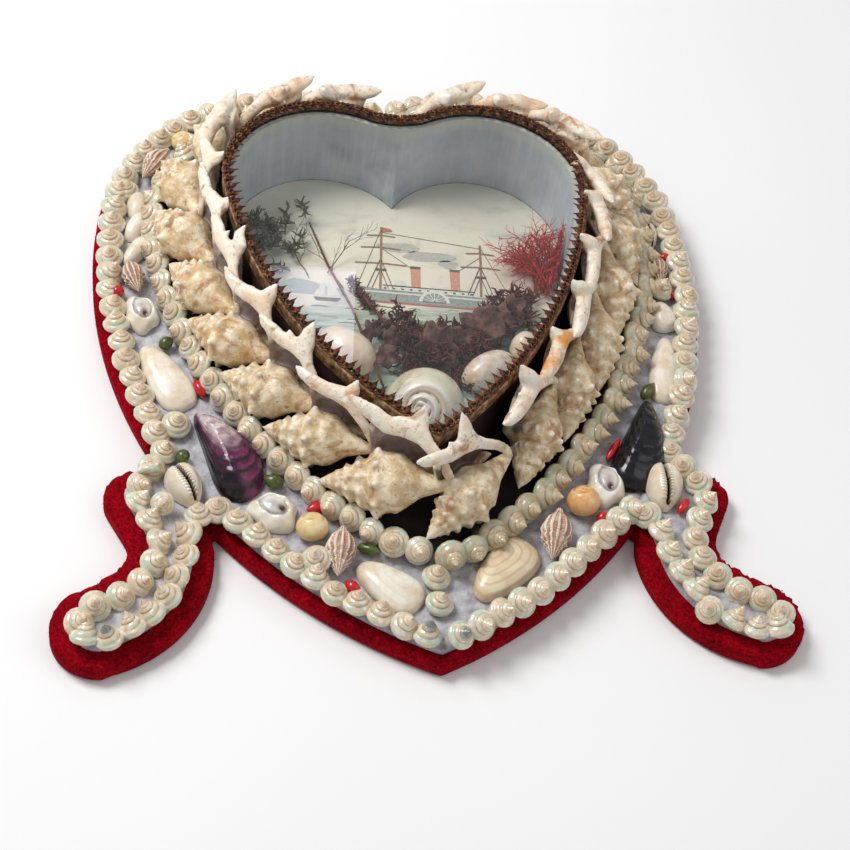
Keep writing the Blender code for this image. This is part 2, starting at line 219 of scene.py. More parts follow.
class Clay:
    """Collects bodies, with numbers per point for the materials, into one mesh."""

    def __init__(self):
        self.points = []
        self.faces = []
        self.looks = []
        self.marks = {}
        self.count = 0

    def add(self, points, faces, look=0, **marks):
        points = np.asarray(points, float)
        size = len(points)
        self.faces += [tuple(i + self.count for i in face) for face in faces]
        self.looks += [look] * len(faces)
        for name in sorted(set(self.marks) | set(marks)):
            have = self.marks.setdefault(name, [])
            have += [0.0] * (self.count - len(have))
            have += list(np.broadcast_to(np.asarray(marks.get(name, 0.0), float), (size,)))
        self.points.append(points)
        self.count += size
        return self

    def piece(self, name, look, slot, *nodes, smooth=True):
        """The bodies as one mesh with a look, or a list of looks, in place of some nodes; the slot is not
        used.
        """
        mesh = bpy.data.meshes.new(name)
        mesh.from_pydata((np.vstack(self.points) * MM).tolist(), [], self.faces)
        for material in look if isinstance(look, list) else [look]:
            mesh.materials.append(material)
        mesh.polygons.foreach_set("material_index", np.array(self.looks, np.int32))
        mesh.polygons.foreach_set("use_smooth", np.full(len(self.faces), smooth))
        for mark, values in self.marks.items():
            made = mesh.attributes.new(mark, "FLOAT", "POINT")
            made.data.foreach_set("value", np.array(values, np.float32))
        outward = bmesh.new()
        outward.from_mesh(mesh)
        bmesh.ops.recalc_face_normals(outward, faces=outward.faces)
        outward.to_mesh(mesh)
        outward.free()
        obj = placed(name, mesh)
        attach(obj, "root")
        if nodes:
            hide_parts(*nodes)


def grid_faces(rows, columns):
    """Four-sided faces between rows of points, each row joined all round."""
    faces = []
    for r in range(rows - 1):
        for c in range(columns):
            d = (c + 1) % columns
            faces.append((r * columns + c, r * columns + d, (r + 1) * columns + d, (r + 1) * columns + c))
    return faces


def closed_grid(rows, columns, flip=False):
    """Faces as grid_faces makes them, with a cap on the first and the last row, turned over where asked."""
    last = (rows - 1) * columns
    faces = grid_faces(rows, columns)
    faces += [tuple(range(columns))[::-1], tuple(range(last, last + columns))]
    return [face[::-1] for face in faces] if flip else faces


def tube(path, radii, sides):
    """A closed tube along points, with a radius at each."""
    path = np.asarray(path, float)
    radii = np.broadcast_to(np.asarray(radii, float), (len(path),))
    ahead = unit_rows(np.gradient(path, axis=0))
    side = np.cross(ahead[0], UP if abs(ahead[0][2]) < 0.9 else np.array([1.0, 0, 0]))
    turns = round_angles(sides)
    rings = []
    for p, t, r in zip(path, ahead, radii):
        side = unit(side - t * side.dot(t))
        other = np.cross(t, side)
        rings.append(p + r * (np.cos(turns)[:, None] * side + np.sin(turns)[:, None] * other))
    return np.vstack(rings), closed_grid(len(path), sides)


WHORL_SIDES = 84
RIB = 0.24


def turned_shell(profile, ratio, start, ribs, swell, rows, body, bumps=(), lower=1.0):
    """A whelk-like shell along X from canal to apex: turned from a profile, with spiral sutures and ribs.

    start is the x where the body whorl begins, and body is how far past it the sutures run on, as a share of
    the spire. lower is how strong the ribs are on the body whorl. A row of bumps is its x, width, count and
    height.
    """
    knots = np.array(profile, float)
    x = np.interp(np.linspace(0, 1, rows), np.linspace(0, 1, len(knots)), knots[:, 0])
    for _ in range(2):
        x[1:-1] = (x[:-2] + x[1:-1] * 2 + x[2:]) / 4
    order = np.argsort(knots[:, 0])
    r = np.interp(x, knots[order, 0], knots[order, 1])
    r[1:-1] = (r[:-2] + r[1:-1] * 2 + r[2:]) / 4
    r = np.maximum(r, 0.08)
    apex = knots[-1, 0]
    turn = round_angles(WHORL_SIDES)
    away = np.abs(x - apex)[:, None] / abs(start - apex)
    whorl = np.log(np.maximum(away, 0.02)) / math.log(ratio) + turn / (2 * math.pi)
    share = whorl - np.floor(whorl)
    spire = 1 / (1 + np.exp((away - 1 - body) * 12))
    mid = np.sin(math.pi * share)
    big = r[:, None] * (1 + spire * swell * (mid**0.8 - 0.65))
    wave = 0.5 + 0.5 * np.cos(ribs * turn)[None, :]
    on_body = (1 - spire) * np.clip((away - 1) * 4, 0, 1) * np.clip((2.6 - away) * 1.2, 0, 1) * lower
    big = big * (1 + RIB * (wave - 0.4) * (spire * mid**1.5 + on_body))
    for where, width, count, height in bumps:
        row = np.exp(-(((x - where) / width) ** 2))[:, None]
        big = big + row * height * (0.5 + 0.5 * np.cos(count * turn + where))[None, :] ** 3
    along = np.broadcast_to(x[:, None], big.shape)
    points = np.stack([along, big * np.cos(turn), big * np.sin(turn)], axis=2).reshape(-1, 3)
    marks = {"mid": spire * mid + (1 - spire) * 0.8, "band": share, "rib": ribs * turn / (2 * math.pi)}
    marks = {name: np.broadcast_to(values, big.shape).reshape(-1) for name, values in marks.items()}
    return points, closed_grid(rows, WHORL_SIDES, x[0] > x[-1]), marks


def lumpy(points, amount, scale, seed):
    """Smooth displacement along the direction from the middle, from sums of sines."""
    rng = np.random.default_rng(seed)
    total = np.zeros(len(points))
    for _ in range(6):
        way = unit(rng.normal(size=3))
        total += np.sin(points @ way * rng.uniform(0.6, 1.6) / scale + rng.uniform(0, 6.28))
    return points + unit_rows(points - points.mean(axis=0)) * (total * amount / 3)[:, None]


def evaluated(points, faces, voxel, relax):
    """The outer surface of overlapping closed bodies, remeshed and relaxed: points, faces and normals."""
    mesh = bpy.data.meshes.new("work")
    mesh.from_pydata((np.asarray(points) * MM).tolist(), [], faces)
    work = placed("work", mesh)
    remesh = work.modifiers.new("Remesh", "REMESH")
    remesh.mode = "VOXEL"
    remesh.voxel_size = voxel * MM
    smooth = work.modifiers.new("Smooth", "SMOOTH")
    smooth.iterations = relax
    done = work.evaluated_get(bpy.context.evaluated_depsgraph_get()).to_mesh()
    got = np.empty(len(done.vertices) * 3, np.float32)
    done.vertices.foreach_get("co", got)
    normals = np.empty(len(done.vertices) * 3, np.float32)
    done.vertex_normals.foreach_get("vector", normals)
    made = [tuple(p.vertices) for p in done.polygons]
    bpy.data.objects.remove(work)
    bpy.data.meshes.remove(mesh)
    return got.reshape(-1, 3).astype(float) / MM, made, normals.reshape(-1, 3).astype(float)


# ---------------------------------------------------------------- materials
class Look:
    """A Principled material with short calls for its nodes. Sizes are in millimetres."""

    def __init__(self, name, **plain):
        self.material = bpy.data.materials.new(name)
        self.material.use_nodes = True
        self.tree = self.material.node_tree
        self.shader = self.tree.nodes["Principled BSDF"]
        self.place = None
        for key, value in plain.items():
            self.shader.inputs[key.replace("_", " ")].default_value = value

    def node(self, kind, **settings):
        made = self.tree.nodes.new(kind)
        for key, value in settings.items():
            setattr(made, key, value)
        return made

    def put(self, value, socket):
        if hasattr(value, "links"):
            self.tree.links.new(value, socket)
        elif isinstance(value, tuple) and len(value) == 3 and len(socket.default_value) == 4:
            socket.default_value = (*value, 1)
        else:
            socket.default_value = value

    def where(self, scale=(1, 1, 1)):
        if self.place is None:
            self.place = self.node("ShaderNodeTexCoord").outputs["Object"]
        if scale == (1, 1, 1):
            return self.place
        mapping = self.node("ShaderNodeMapping")
        self.put(self.place, mapping.inputs["Vector"])
        mapping.inputs["Scale"].default_value = scale
        return mapping.outputs["Vector"]

    def noise(self, size, detail, rough=0.55, stretch=(1, 1, 1), twist=0.0):
        made = self.node("ShaderNodeTexNoise")
        self.put(self.where(stretch), made.inputs["Vector"])
        made.inputs["Scale"].default_value = 1000 / size
        made.inputs["Detail"].default_value = detail
        made.inputs["Roughness"].default_value = rough
        made.inputs["Distortion"].default_value = twist
        return made.outputs["Fac"]

    def cells(self, size):
        made = self.node("ShaderNodeTexVoronoi", feature="F2")
        self.put(self.where(), made.inputs["Vector"])
        made.inputs["Scale"].default_value = 1000 / size
        return made.outputs["Distance"]

    def axis(self, name):
        """One coordinate of the object, in metres."""
        apart = self.node("ShaderNodeSeparateXYZ")
        self.put(self.where(), apart.inputs[0])
        return apart.outputs[name]

    def mark(self, name):
        return self.node("ShaderNodeAttribute", attribute_name=name).outputs["Fac"]

    def maths(self, operation, a, b=0.0):
        made = self.node("ShaderNodeMath", operation=operation)
        self.put(a, made.inputs[0])
        self.put(b, made.inputs[1])
        return made.outputs[0]

    def times(self, a, b):
        return self.maths("MULTIPLY", a, b)

    def plus(self, a, b):
        return self.maths("ADD", a, b)

    def ramp(self, factor, *stops):
        """Colours or greys at places from 0 to 1."""
        made = self.node("ShaderNodeValToRGB")
        bar = made.color_ramp
        while len(bar.elements) < len(stops):
            bar.elements.new(0.5)
        for element, (at, colour) in zip(bar.elements, stops):
            element.position = at
            colour = (colour,) * 3 if isinstance(colour, (int, float)) else colour
            element.color = (*colour, 1)
        self.put(factor, made.inputs["Fac"])
        return made.outputs["Color"]

    def mix(self, a, b, factor, kind="MIX"):
        made = self.node("ShaderNodeMix", data_type="RGBA", blend_type=kind)
        self.put(factor, made.inputs[0])
        self.put(a, made.inputs[6])
        self.put(b, made.inputs[7])
        return made.outputs[2]

    def bump(self, height, strength, distance, under=None):
        made = self.node("ShaderNodeBump")
        made.inputs["Strength"].default_value = strength
        made.inputs["Distance"].default_value = distance * MM
        self.put(height, made.inputs["Height"])
        if under is not None:
            self.put(under, made.inputs["Normal"])
        return made.outputs["Normal"]

    def done(self, colour=None, roughness=None, normal=None):
        for value, name in ((colour, "Base Color"), (roughness, "Roughness"), (normal, "Normal")):
            if value is not None:
                self.put(value, self.shader.inputs[name])
        return self.material


def velvet_look():
    look = Look("velvet", Roughness=0.95, Specular_IOR_Level=0.08,
                Sheen_Weight=0.12, Sheen_Roughness=0.5, Sheen_Tint=(1, 0.02, 0.03, 1))
    pile = look.noise(1.1, 4, 0.7)
    drift = look.noise(14, 3, 0.6)
    reds = (0.3, (0.07, 0.0, 0.002)), (0.5, (0.36, 0.0, 0.008)), (0.72, (0.68, 0.004, 0.022))
    colour = look.ramp(pile, *reds)
    colour = look.mix(colour, look.ramp(drift, (0.3, 0.45), (0.7, 1.0)), 0.75, "MULTIPLY")
    return look.done(colour, normal=look.bump(pile, 1.0, 0.9, look.bump(look.noise(0.4, 2, 0.6), 0.6, 0.3)))


def plaster_look():
    look = Look("plaster", Roughness=0.95)
    coarse = look.noise(5, 5, 0.6)
    fine = look.noise(0.8, 3, 0.6)
    colour = look.ramp(coarse, (0.3, (0.3, 0.28, 0.3)), (0.52, (0.52, 0.51, 0.55)), (0.75, (0.7, 0.69, 0.71)))
    # painted shade: the 'dark' mark blackens the bed under the ring of knobbed shells, where they shade it
    colour = look.mix(colour, (0.012, 0.006, 0.004), look.mark("dark"))
    return look.done(colour, normal=look.bump(fine, 0.7, 0.4, look.bump(coarse, 0.8, 1.2)))


def nacre_look():
    look = Look("pearly_top", Roughness=0.25, Coat_Weight=0.5, Coat_Roughness=0.12, Specular_IOR_Level=0.65)
    age, mid, tone = look.mark("age"), look.mark("mid"), look.mark("tone")
    body = look.mix((0.62, 0.58, 0.43), (0.68, 0.54, 0.36), tone)
    crown = look.mix((0.78, 0.62, 0.42), (0.7, 0.52, 0.33), tone)
    colour = look.mix(crown, body, look.ramp(age, (0.35, 0.0), (0.75, 1.0)))
    glow = look.noise(2.6, 2, 0.5, twist=0.6)
    colour = look.mix(colour, (0.9, 0.84, 0.74), look.ramp(glow, (0.46, 0.0), (0.62, 0.7)))
    olive = look.times(look.mark("olive"), look.ramp(look.noise(5, 2), (0.4, 0.35), (0.6, 0.75)))
    colour = look.mix(colour, (0.4, 0.33, 0.17), olive)
    low = look.ramp(age, (0.5, 0.0), (0.85, 1.0))
    aqua = look.times(look.ramp(look.noise(4.2, 1), (0.48, 0.0), (0.62, 0.6)), low)
    colour = look.mix(colour, (0.42, 0.62, 0.5), aqua)
    rose = look.noise(3.1, 1, stretch=(1, 1.2, 1))
    colour = look.mix(colour, (0.84, 0.58, 0.4), look.ramp(rose, (0.54, 0.0), (0.68, 0.5)))
    seam = look.ramp(mid, (0.0, 1.0), (0.3, 0.35), (0.5, 0.0))
    colour = look.mix(colour, (0.22, 0.1, 0.035), look.times(seam, 0.85))
    eye = look.times(look.mark("eye"), look.ramp(age, (0.3, 0.85), (0.62, 0.0)))
    colour = look.mix(colour, (0.12, 0.16, 0.17), eye)
    lines = look.noise(0.8, 2, 0.5, stretch=(1, 1, 2.5))
    return look.done(colour, look.ramp(glow, (0.3, 0.34), (0.7, 0.14)), look.bump(lines, 0.15, 0.2))


def pelican_look():
    look = Look("pelican_foot", Roughness=0.45, Coat_Weight=0.15, Coat_Roughness=0.3)
    lip = look.mark("lip")
    base = look.mix((0.66, 0.44, 0.22), (0.6, 0.47, 0.27), look.mark("tone"))
    cloud = look.noise(5, 4, 0.6)
    colour = look.mix(base, (0.9, 0.78, 0.56), look.ramp(cloud, (0.42, 0.0), (0.6, 0.95)))
    colour = look.mix(colour, (0.95, 0.91, 0.8), look.times(lip, 0.8))
    stain = look.noise(7.5, 5, 0.65, twist=1.0)
    colour = look.mix(colour, (0.42, 0.17, 0.05), look.ramp(stain, (0.53, 0.0), (0.66, 0.85)))
    rust = look.ramp(look.noise(9, 3, 0.6), (0.4, 0.0), (0.56, 1.0))
    colour = look.mix(colour, (0.78, 0.33, 0.06), look.times(rust, look.times(look.mark("amber"), lip)))
    specks = look.noise(1.3, 3, 0.7)
    colour = look.mix(colour, (0.22, 0.12, 0.06), look.ramp(specks, (0.6, 0.0), (0.7, 0.75)))
    # darker brown in the hollows and paler on the ridges, by the mesh's pointiness
    edges = look.node("ShaderNodeNewGeometry").outputs["Pointiness"]
    colour = look.mix(colour, (0.2, 0.1, 0.045), look.ramp(edges, (0.41, 0.9), (0.492, 0.0)))
    colour = look.mix(colour, (0.95, 0.91, 0.83), look.ramp(edges, (0.515, 0.0), (0.59, 0.7)))
    # painted shade: the aperture is near-black low down by the body, where it lies deepest in shade, and
    # lavender-grey up by the lip
    mouth = look.mix((0.035, 0.02, 0.014), (0.4, 0.34, 0.33), look.mark("high"))
    shadow = look.noise(8, 3, 0.6, twist=0.8)
    mouth = look.mix(mouth, (0.16, 0.085, 0.05), look.ramp(shadow, (0.4, 0.0), (0.62, 0.75)))
    # painted shade: the apertures of the right-hand ring are darker, as they lie more in shade
    mouth = look.mix(mouth, (0.05, 0.022, 0.013), look.times(look.mark("right"), 0.75))
    colour = look.mix(colour, mouth, look.mark("inner"))
    relief = look.bump(look.noise(0.7, 3, 0.6), 0.4, 0.3, look.bump(look.noise(2.4, 3), 0.6, 0.8))
    return look.done(colour, look.ramp(cloud, (0.3, 0.6), (0.7, 0.35)), relief)


def shell_look(name, light, deep, shade, size, gloss, band=0, stripes=0.0):
    """A glossy shell with clouds of colour, and bands along the 'band' mark where asked."""
    look = Look(name, Roughness=gloss, Coat_Weight=0.3, Coat_Roughness=0.15)
    colour = look.ramp(look.noise(size, 4, 0.6), (0.35, deep), (0.62, light))
    if band:
        wave = look.plus(look.times(look.mark("band"), band), look.times(look.noise(3, 2), 2.0))
        rings = look.maths("SINE", wave)
        colour = look.mix(colour, shade, look.ramp(rings, (0.3, 0.0), (0.9, stripes)))
    colour = look.mix(colour, shade, look.mark("shade"))
    return look.done(colour, normal=look.bump(look.noise(1.0, 3), 0.2, 0.2))


# ---------------------------------------------------------------- board and bed
def inside(points, outline):
    """Which points lie within a closed outline."""
    hit = np.zeros(len(points), bool)
    a, b = outline, np.roll(outline, -1, axis=0)
    for (x0, y0), (x1, y1) in zip(a, b):
        if y0 == y1:
            continue
        crosses = (y0 > points[:, 1]) != (y1 > points[:, 1])
        at = x0 + (points[:, 1] - y0) * (x1 - x0) / (y1 - y0)
        hit ^= crosses & (points[:, 0] < at)
    return hit


def distance_to(points, outline):
    """Distance to a closed outline, below zero inside it."""
    best = np.full(len(points), 1e9)
    for a, b in zip(outline, np.roll(outline, -1, axis=0)):
        step = b - a
        size = step.dot(step)
        if size < 1e-9:
            continue
        t = np.clip(((points - a) @ step) / size, 0, 1)
        best = np.minimum(best, ((points - a - t[:, None] * step) ** 2).sum(axis=1))
    best = np.sqrt(best)
    return np.where(inside(points, outline), -best, best)


class Field:
    """Distance to the edge of the heart on its feet, looked up on a grid."""

    def __init__(self, heart_inset, foot_inset, step=1.0):
        self.low = np.array([-146.0, -150.0])
        self.step = step
        xs, ys = (low + np.arange(int(reach / step) + 1) * step for low, reach in zip(self.low, (292, 308)))
        grid = grid_points(xs, ys)
        foot = foot_outline(foot_inset)
        near = distance_to(grid, heart_outline(BOARD, -heart_inset))
        for side in (foot, foot * [-1, 1]):
            near = np.minimum(near, distance_to(grid, side))
        self.values = near.reshape(len(xs), len(ys))

    def at(self, points):
        v = self.values
        place = (np.asarray(points) - self.low) / self.step
        i = np.clip(place.astype(int), 0, np.array(v.shape) - 2)
        f = np.clip(place - i, 0, 1)
        x, y = i[:, 0], i[:, 1]
        low = v[x, y] * (1 - f[:, 0]) + v[x + 1, y] * f[:, 0]
        high = v[x, y + 1] * (1 - f[:, 0]) + v[x + 1, y + 1] * f[:, 0]
        return low * (1 - f[:, 1]) + high * f[:, 1]

    def slope(self, points):
        points = np.asarray(points)
        e = self.step * 0.5
        gx = self.at(points + [e, 0]) - self.at(points - [e, 0])
        gy = self.at(points + [0, e]) - self.at(points - [0, e])
        return unit_rows(np.stack([gx, gy], axis=1))


def height_sheet(field, step, top, base, offset=0.0, extra=None):
    """A sheet at a height over the field's inside, its rim drawn onto the edge, with a skirt to the base."""
    xs, ys = np.arange(-142, 142.1, step), np.arange(-146, 152.1, step)
    grid = grid_points(xs, ys)
    edge = field.at(grid) - offset
    near = edge if extra is None else np.maximum(edge, extra(grid))
    keep = near < step * 0.5
    pull = (np.abs(edge) < step * 0.75) & keep
    grid[pull] -= field.slope(grid[pull]) * edge[pull][:, None]
    points = grid[keep]
    verts = np.column_stack([points, top(points, -np.minimum(near[keep], 0))])
    index = -np.ones(len(grid), int)
    index[keep] = np.arange(len(points))
    columns = len(ys)
    a = grid_points(np.arange(len(xs) - 1), np.arange(columns - 1)) @ [columns, 1]
    quads = index[np.stack([a, a + columns, a + columns + 1, a + 1], axis=1)]
    corners = (quads >= 0).sum(axis=1)
    faces = [tuple(q) for q in quads[corners == 4]]
    faces += [tuple(v for v in q if v >= 0) for q in quads[corners == 3]]
    edges = dict.fromkeys(pair for face in faces for pair in zip(face, face[1:] + face[:1]))
    rim = [(p, q) for p, q in edges if (q, p) not in edges]
    below = {v: len(verts) + k for k, v in enumerate(dict.fromkeys(v for pair in rim for v in pair))}
    verts = np.vstack([verts, [(*verts[v][:2], base) for v in below]])
    faces += [(q, p, below[p], below[q]) for p, q in rim]
    return verts, faces


def waves(points, seed, size, count=10):
    """Smooth even noise from sums of sines, about -1 to 1."""
    rng = np.random.default_rng(seed)
    points = np.asarray(points)
    total = np.zeros(len(points))
    for _ in range(count):
        way = unit(rng.normal(size=points.shape[1])) * 6.283 / (size * rng.uniform(0.6, 1.7))
        total += np.sin(points @ way + rng.uniform(0, 6.28))
    return total / math.sqrt(count)


PILE_HAIRS = 4000
BOARD_SIDE = ((1.4, 0.0), (0.45, 0.25), (0.05, 1.0), (-0.05, 3.0), (0.0, 4.8), (0.35, 5.9), (1.2, 6.7))


def make_board():
    """Board covered in velvet: the pile rounds its edges and roughens them, and some hairs stand out."""
    field = Field(0, 0)
    rim = outline_of(field)

    def top(points, depth):
        edge = 1 - np.clip(depth / 1.6, 0, 1)
        return 7.0 - 1.7 * edge**2 + 0.16 * waves(points, 3, 3.0) * np.clip(depth, 0.3, 1)

    clay = Clay().add(*height_sheet(field, 1.6, top, 0.9, 0.5)).add(*board_side(field, rim))
    pile = np.random.default_rng(8)
    for _ in range(PILE_HAIRS):
        place = rim[pile.integers(len(rim))] + pile.normal(size=2) * 0.4
        away = field.slope(place[None])[0]
        depth = field.at(place[None])[0] + pile.uniform(0.1, 0.7)
        root = flat3(place - away * depth, pile.uniform(1.2, 6.2))
        way = flat3(away, pile.uniform(-0.3, 0.9)) + pile.normal(size=3) * 0.45
        clay.add(*tube([root, root + unit(way) * pile.uniform(0.7, 1.5)], (0.16, 0.03), 3))
    clay.piece("velvet_board", velvet_look(), "red_velvet", "base_board")


def board_side(field, rim):
    """Side wall and flat underside of the board: rings along its outline, each at an inset and a height."""
    away = field.slope(rim)
    rings = []
    for inset, z in BOARD_SIDE:
        wobble = 0.14 * waves(at_level(rim, z * 3), 5, 2.4)
        if (inset, z) in (BOARD_SIDE[0], BOARD_SIDE[-1]):
            wobble = wobble * 0
        rings.append(at_level(rim - away * inset + away * wobble[:, None], z))
    return np.vstack(rings), closed_grid(len(rings), len(rim))


def outline_of(field, pitch=1.0):
    """The board's whole outline as one line, found by walking along the field's edge."""
    level = [np.array([0.0, BOARD[4] + 0.2])]
    point = level[0]
    for _ in range(4000):
        g = field.slope(point[None])[0]
        point = point + np.array([-g[1], g[0]]) * pitch
        for _ in range(3):
            point = point - field.slope(point[None])[0] * field.at(point[None])[0]
        level.append(point)
        if len(level) > 50 and np.linalg.norm(point - level[0]) < pitch * 0.9:
            break
    return np.array(level)


def make_bed():
    """Plaster round the shells, with a low terrace round the case, painted near-black at the foot of the ring
    as the shade under the shells there.
    """
    case_edge = heart_outline(CASE, 0.3)

    def top(points, depth):
        edge = 1 - np.clip(depth / 2.2, 0, 1)
        terrace = np.clip((20.0 - distance_to(points, case_edge)) / 3.0, 0, 1)
        lumps = 0.28 * waves(points, 11, 7.0) + 0.12 * waves(points, 12, 2.8)
        return BED_TOP - 0.15 - 1.9 * edge**2 + terrace * 3.3 + lumps

    def hole(points):
        return -distance_to(points, case_edge)

    verts, faces = height_sheet(Field(4.2, 7.2), 1.7, top, 7.1, extra=hole)
    # painted shade: the bed turns near-black within about 26 mm of the case, under the ring of shells
    dark = np.clip((28.5 - distance_to(verts[:, :2], case_edge)) / 2.5, 0, 1) * 0.98
    Clay().add(verts, faces, dark=dark).piece("plaster_bed", plaster_look(), "shell_cement", "shell_bed")


# ---------------------------------------------------------------- top shells
WHORL_RATIO = 0.64
TOP_WIDE, TOP_FOOT, TOP_HIGH = 4.95, 1.9, 8.9
FACING = (-0.1, -0.62)
EYED = ((-119, -132), (-4, -132), (5, -135))


def top_shell(size, flat, around=18, rows=22):
    """A top shell, its apex up: a cone of stepped whorls on a rounded base."""
    wide, foot, high = TOP_WIDE * size, TOP_FOOT * size, TOP_HIGH * size * flat
    turn = round_angles(around)
    t = np.linspace(0, 1, rows)
    r = wide * (1 - 0.985 * t**0.96)
    z = foot + (high - foot) * t
    level = np.log(r / wide) / math.log(WHORL_RATIO)
    share = (level[:, None] - turn / (2 * math.pi)) % 1
    grown = np.clip(level * 1.2, 0, 1)[:, None]
    swell = (grown * np.sin(math.pi * share**0.7) ** 0.75 + (1 - grown) * 0.75) * 0.2 * r[:, None]
    normal = unit(np.array([high - foot, wide]))
    out = r[:, None] + swell * normal[0]
    rings = [np.stack([out * np.cos(turn), out * np.sin(turn), z[:, None] + swell * normal[1]], axis=2)]
    for reach, rise in ((1.1, 0.55), (1.0, 0.18), (0.72, 0.0)):
        ring = [np.cos(turn) * wide * reach, np.sin(turn) * wide * reach, np.full(around, foot * rise)]
        rings.insert(0, np.stack(ring, axis=1)[None])
    base = np.full(3 * around, 1.0)
    mid = (grown * np.sin(math.pi * share) + (1 - grown) * 0.8).reshape(-1)
    age = np.broadcast_to((1 - t)[:, None], share.shape).reshape(-1)
    marks = {"mid": np.concatenate([base * 0.8, mid]), "age": np.concatenate([base, age])}
    return np.vstack(rings).reshape(-1, 3), closed_grid(rows + 3, around), marks


def shell_axes(direction, side, lean=None):
    """Axes of a shell that leans outwards or, with no lean, whose apex points at the front of the heart."""
    outward = flat3(on_side(side, (-direction[1], direction[0])))
    if lean is None:
        axis = unit(UP + flat3(FACING) + outward * 0.12)
    else:
        axis = UP * math.cos(math.radians(lean)) + outward * math.sin(math.radians(lean))
    return frame_axes(flat3(on_side(side, direction)), axis)


def add_top(clay, place, axes, size=1.0, olive=0.0):
    """One top shell at a place, turned about its own axis and tilted a little at random."""
    points, faces, marks = top_shell(size * RNG.uniform(0.95, 1.05), RNG.uniform(0.9, 1.1))
    own = spin(RNG.uniform(0, 6.283), (0, 0, 1))
    tilt = spin(math.radians(RNG.normal() * 7), (1, 0, 0)) @ spin(math.radians(RNG.normal() * 7), (0, 1, 0))
    points = (points @ own.T) @ (axes @ tilt).T + place
    eye = float(min(np.hypot(place[0] - x, place[1] - y) for x, y in EYED) < 5)
    clay.add(points, faces, **marks, tone=RNG.uniform(0, 1), eye=eye, olive=olive)


def row_frames(stretches, side):
    """Places of a row of tops along stretches of path, each stretch with its lean."""
    path = np.vstack([stretch for stretch, _ in stretches])
    frames = []
    for place, direction in stations(path, TOP_PITCH, TOP_RADIUS * 1.2):
        lean = min(stretches, key=lambda s: np.linalg.norm(s[0] - place, axis=1).min())[1]
        lift = TOP_RADIUS * 1.1 * abs(math.sin(math.radians(lean)))
        frames.append((flat3(on_side(side, place), BED_TOP + 0.1 + lift), direction, lean))
    return frames


# Lean of the edge row in degrees, then lean, reach from the case and size of the inner row.
TOP_ROWS = {"left": (-8, 46, 27.9, 1.0), "right": (26, 60, 30.2, 1.12)}
FOOT_LEAN = -28


def make_rows():
    nacre = nacre_look()
    edge = half_heart(BOARD, -5.2)
    upper, lower = edge[edge[:, 1] > FOOT_ROW_TOP], edge[edge[:, 1] < FOOT_ROW_END]
    foot = smooth_line(FOOT_ROW)
    for side, (outer_lean, inner_lean, inner_reach, inner_size) in TOP_ROWS.items():
        clay = Clay()
        for place, direction, lean in row_frames([(upper, outer_lean), (foot, 0), (lower, outer_lean)], side):
            outer_foot = abs(place[0]) > 86 and place[1] < -56
            if lean == 0:
                lean = FOOT_LEAN if outer_foot else outer_lean
            faces_front = side == "right" and (not outer_foot or place[0] > 99 and place[1] > -126)
            add_top(clay, place, shell_axes(direction, side, None if faces_front else lean))
        clay.piece(f"{side}_edge_tops", nacre, "pearl_top_shell", f"edge_row_{side}")
        clay = Clay()
        for place, direction, _ in row_frames([(half_heart(CASE, inner_reach), inner_lean)], side):
            add_top(clay, place, shell_axes(direction, side, inner_lean), inner_size, float(side == "right"))
        clay.piece(f"{side}_inner_tops", nacre, "pearl_top_shell", f"inner_row_{side}")
    clay = Clay()
    tip = half_heart(CASE, TOP_ROWS["left"][2])[-1][1]
    for y in (tip - 1.1 * TOP_PITCH, edge[-1][1] + 1.8 * TOP_PITCH):
        axes = frame_axes(np.array([0, -1.0, 0.0]), np.array([0.2, -0.25, 1.0]))
        add_top(clay, flat3((0, y), BED_TOP + 0.8), axes)
    clay.piece("tip_tops", nacre, "pearl_top_shell", "tip_column")
    return nacre


# ---------------------------------------------------------------- the ring of pelican's-foot shells
PELICAN_BODY = ((22, 1.2), (11.5, 4.3), (5, 8.4), (-2, 9.2), (-9, 6.7), (-16, 3.4), (-23, 0))
PELICAN_FIRST = {"left": (24, 53), "right": (15, 56)}
PELICAN_PITCH = 28.4
PELICAN_COUNT = 10
PELICAN_OUTSET = 17
PELICAN_AXIS_Z = 25.8
PELICAN_AIM = 22
CANAL_INSET = 7
TIP_SHELL_INSET = 1.5
PELICAN_RISE = math.radians(12.5)
LIP_TILT, FAR_TILT = math.radians(29), math.radians(15)
FAR_FIRST, FAR_LIFT = 7, 0.8
FAR_HORNS_FROM, FAR_HORNS_LOST = 19, 0.38
LIP_THICK = {"far": 1.15, "left": 0.58, "right": 0.95}
FRONT_SHELL_SIZE = 1.12
AMBER = {
    "left": (0.15, 0.4, 0.2, 0.35, 0.2, 0.1, 0.2, 0.3, 0.4, 0.2),
    "right": (0.2, 0.3, 1.0, 0.2, 0.2, 0.3, 0.3, 0.4, 0.5, 0.3),
}


def ring_place(side, distance):
    place, away = station(half_heart(CASE, PELICAN_OUTSET)[::-1], distance)
    return flat3(on_side(side, place)), flat3(on_side(side, (away[1], -away[0])))


def pelican_placement(side, index):
    first, second = PELICAN_FIRST[side]
    distance = first if index == 0 else second + (index - 1) * PELICAN_PITCH
    ahead = PELICAN_AIM if side == "right" else -PELICAN_AIM
    inset = TIP_SHELL_INSET if side == "right" and index == 0 else CANAL_INSET
    place, outward = ring_place(side, distance)
    target, outward_there = ring_place(side, distance + ahead)
    flat = unit(target - outward_there * inset - place)
    axis = flat * math.cos(PELICAN_RISE) + UP * math.sin(PELICAN_RISE)
    far = index >= FAR_FIRST
    tilt = FAR_TILT if far else LIP_TILT
    lip = UP * math.cos(tilt) - outward * math.sin(tilt)
    return place + UP * (PELICAN_AXIS_Z + FAR_LIFT * far), frame_axes(axis, lip)


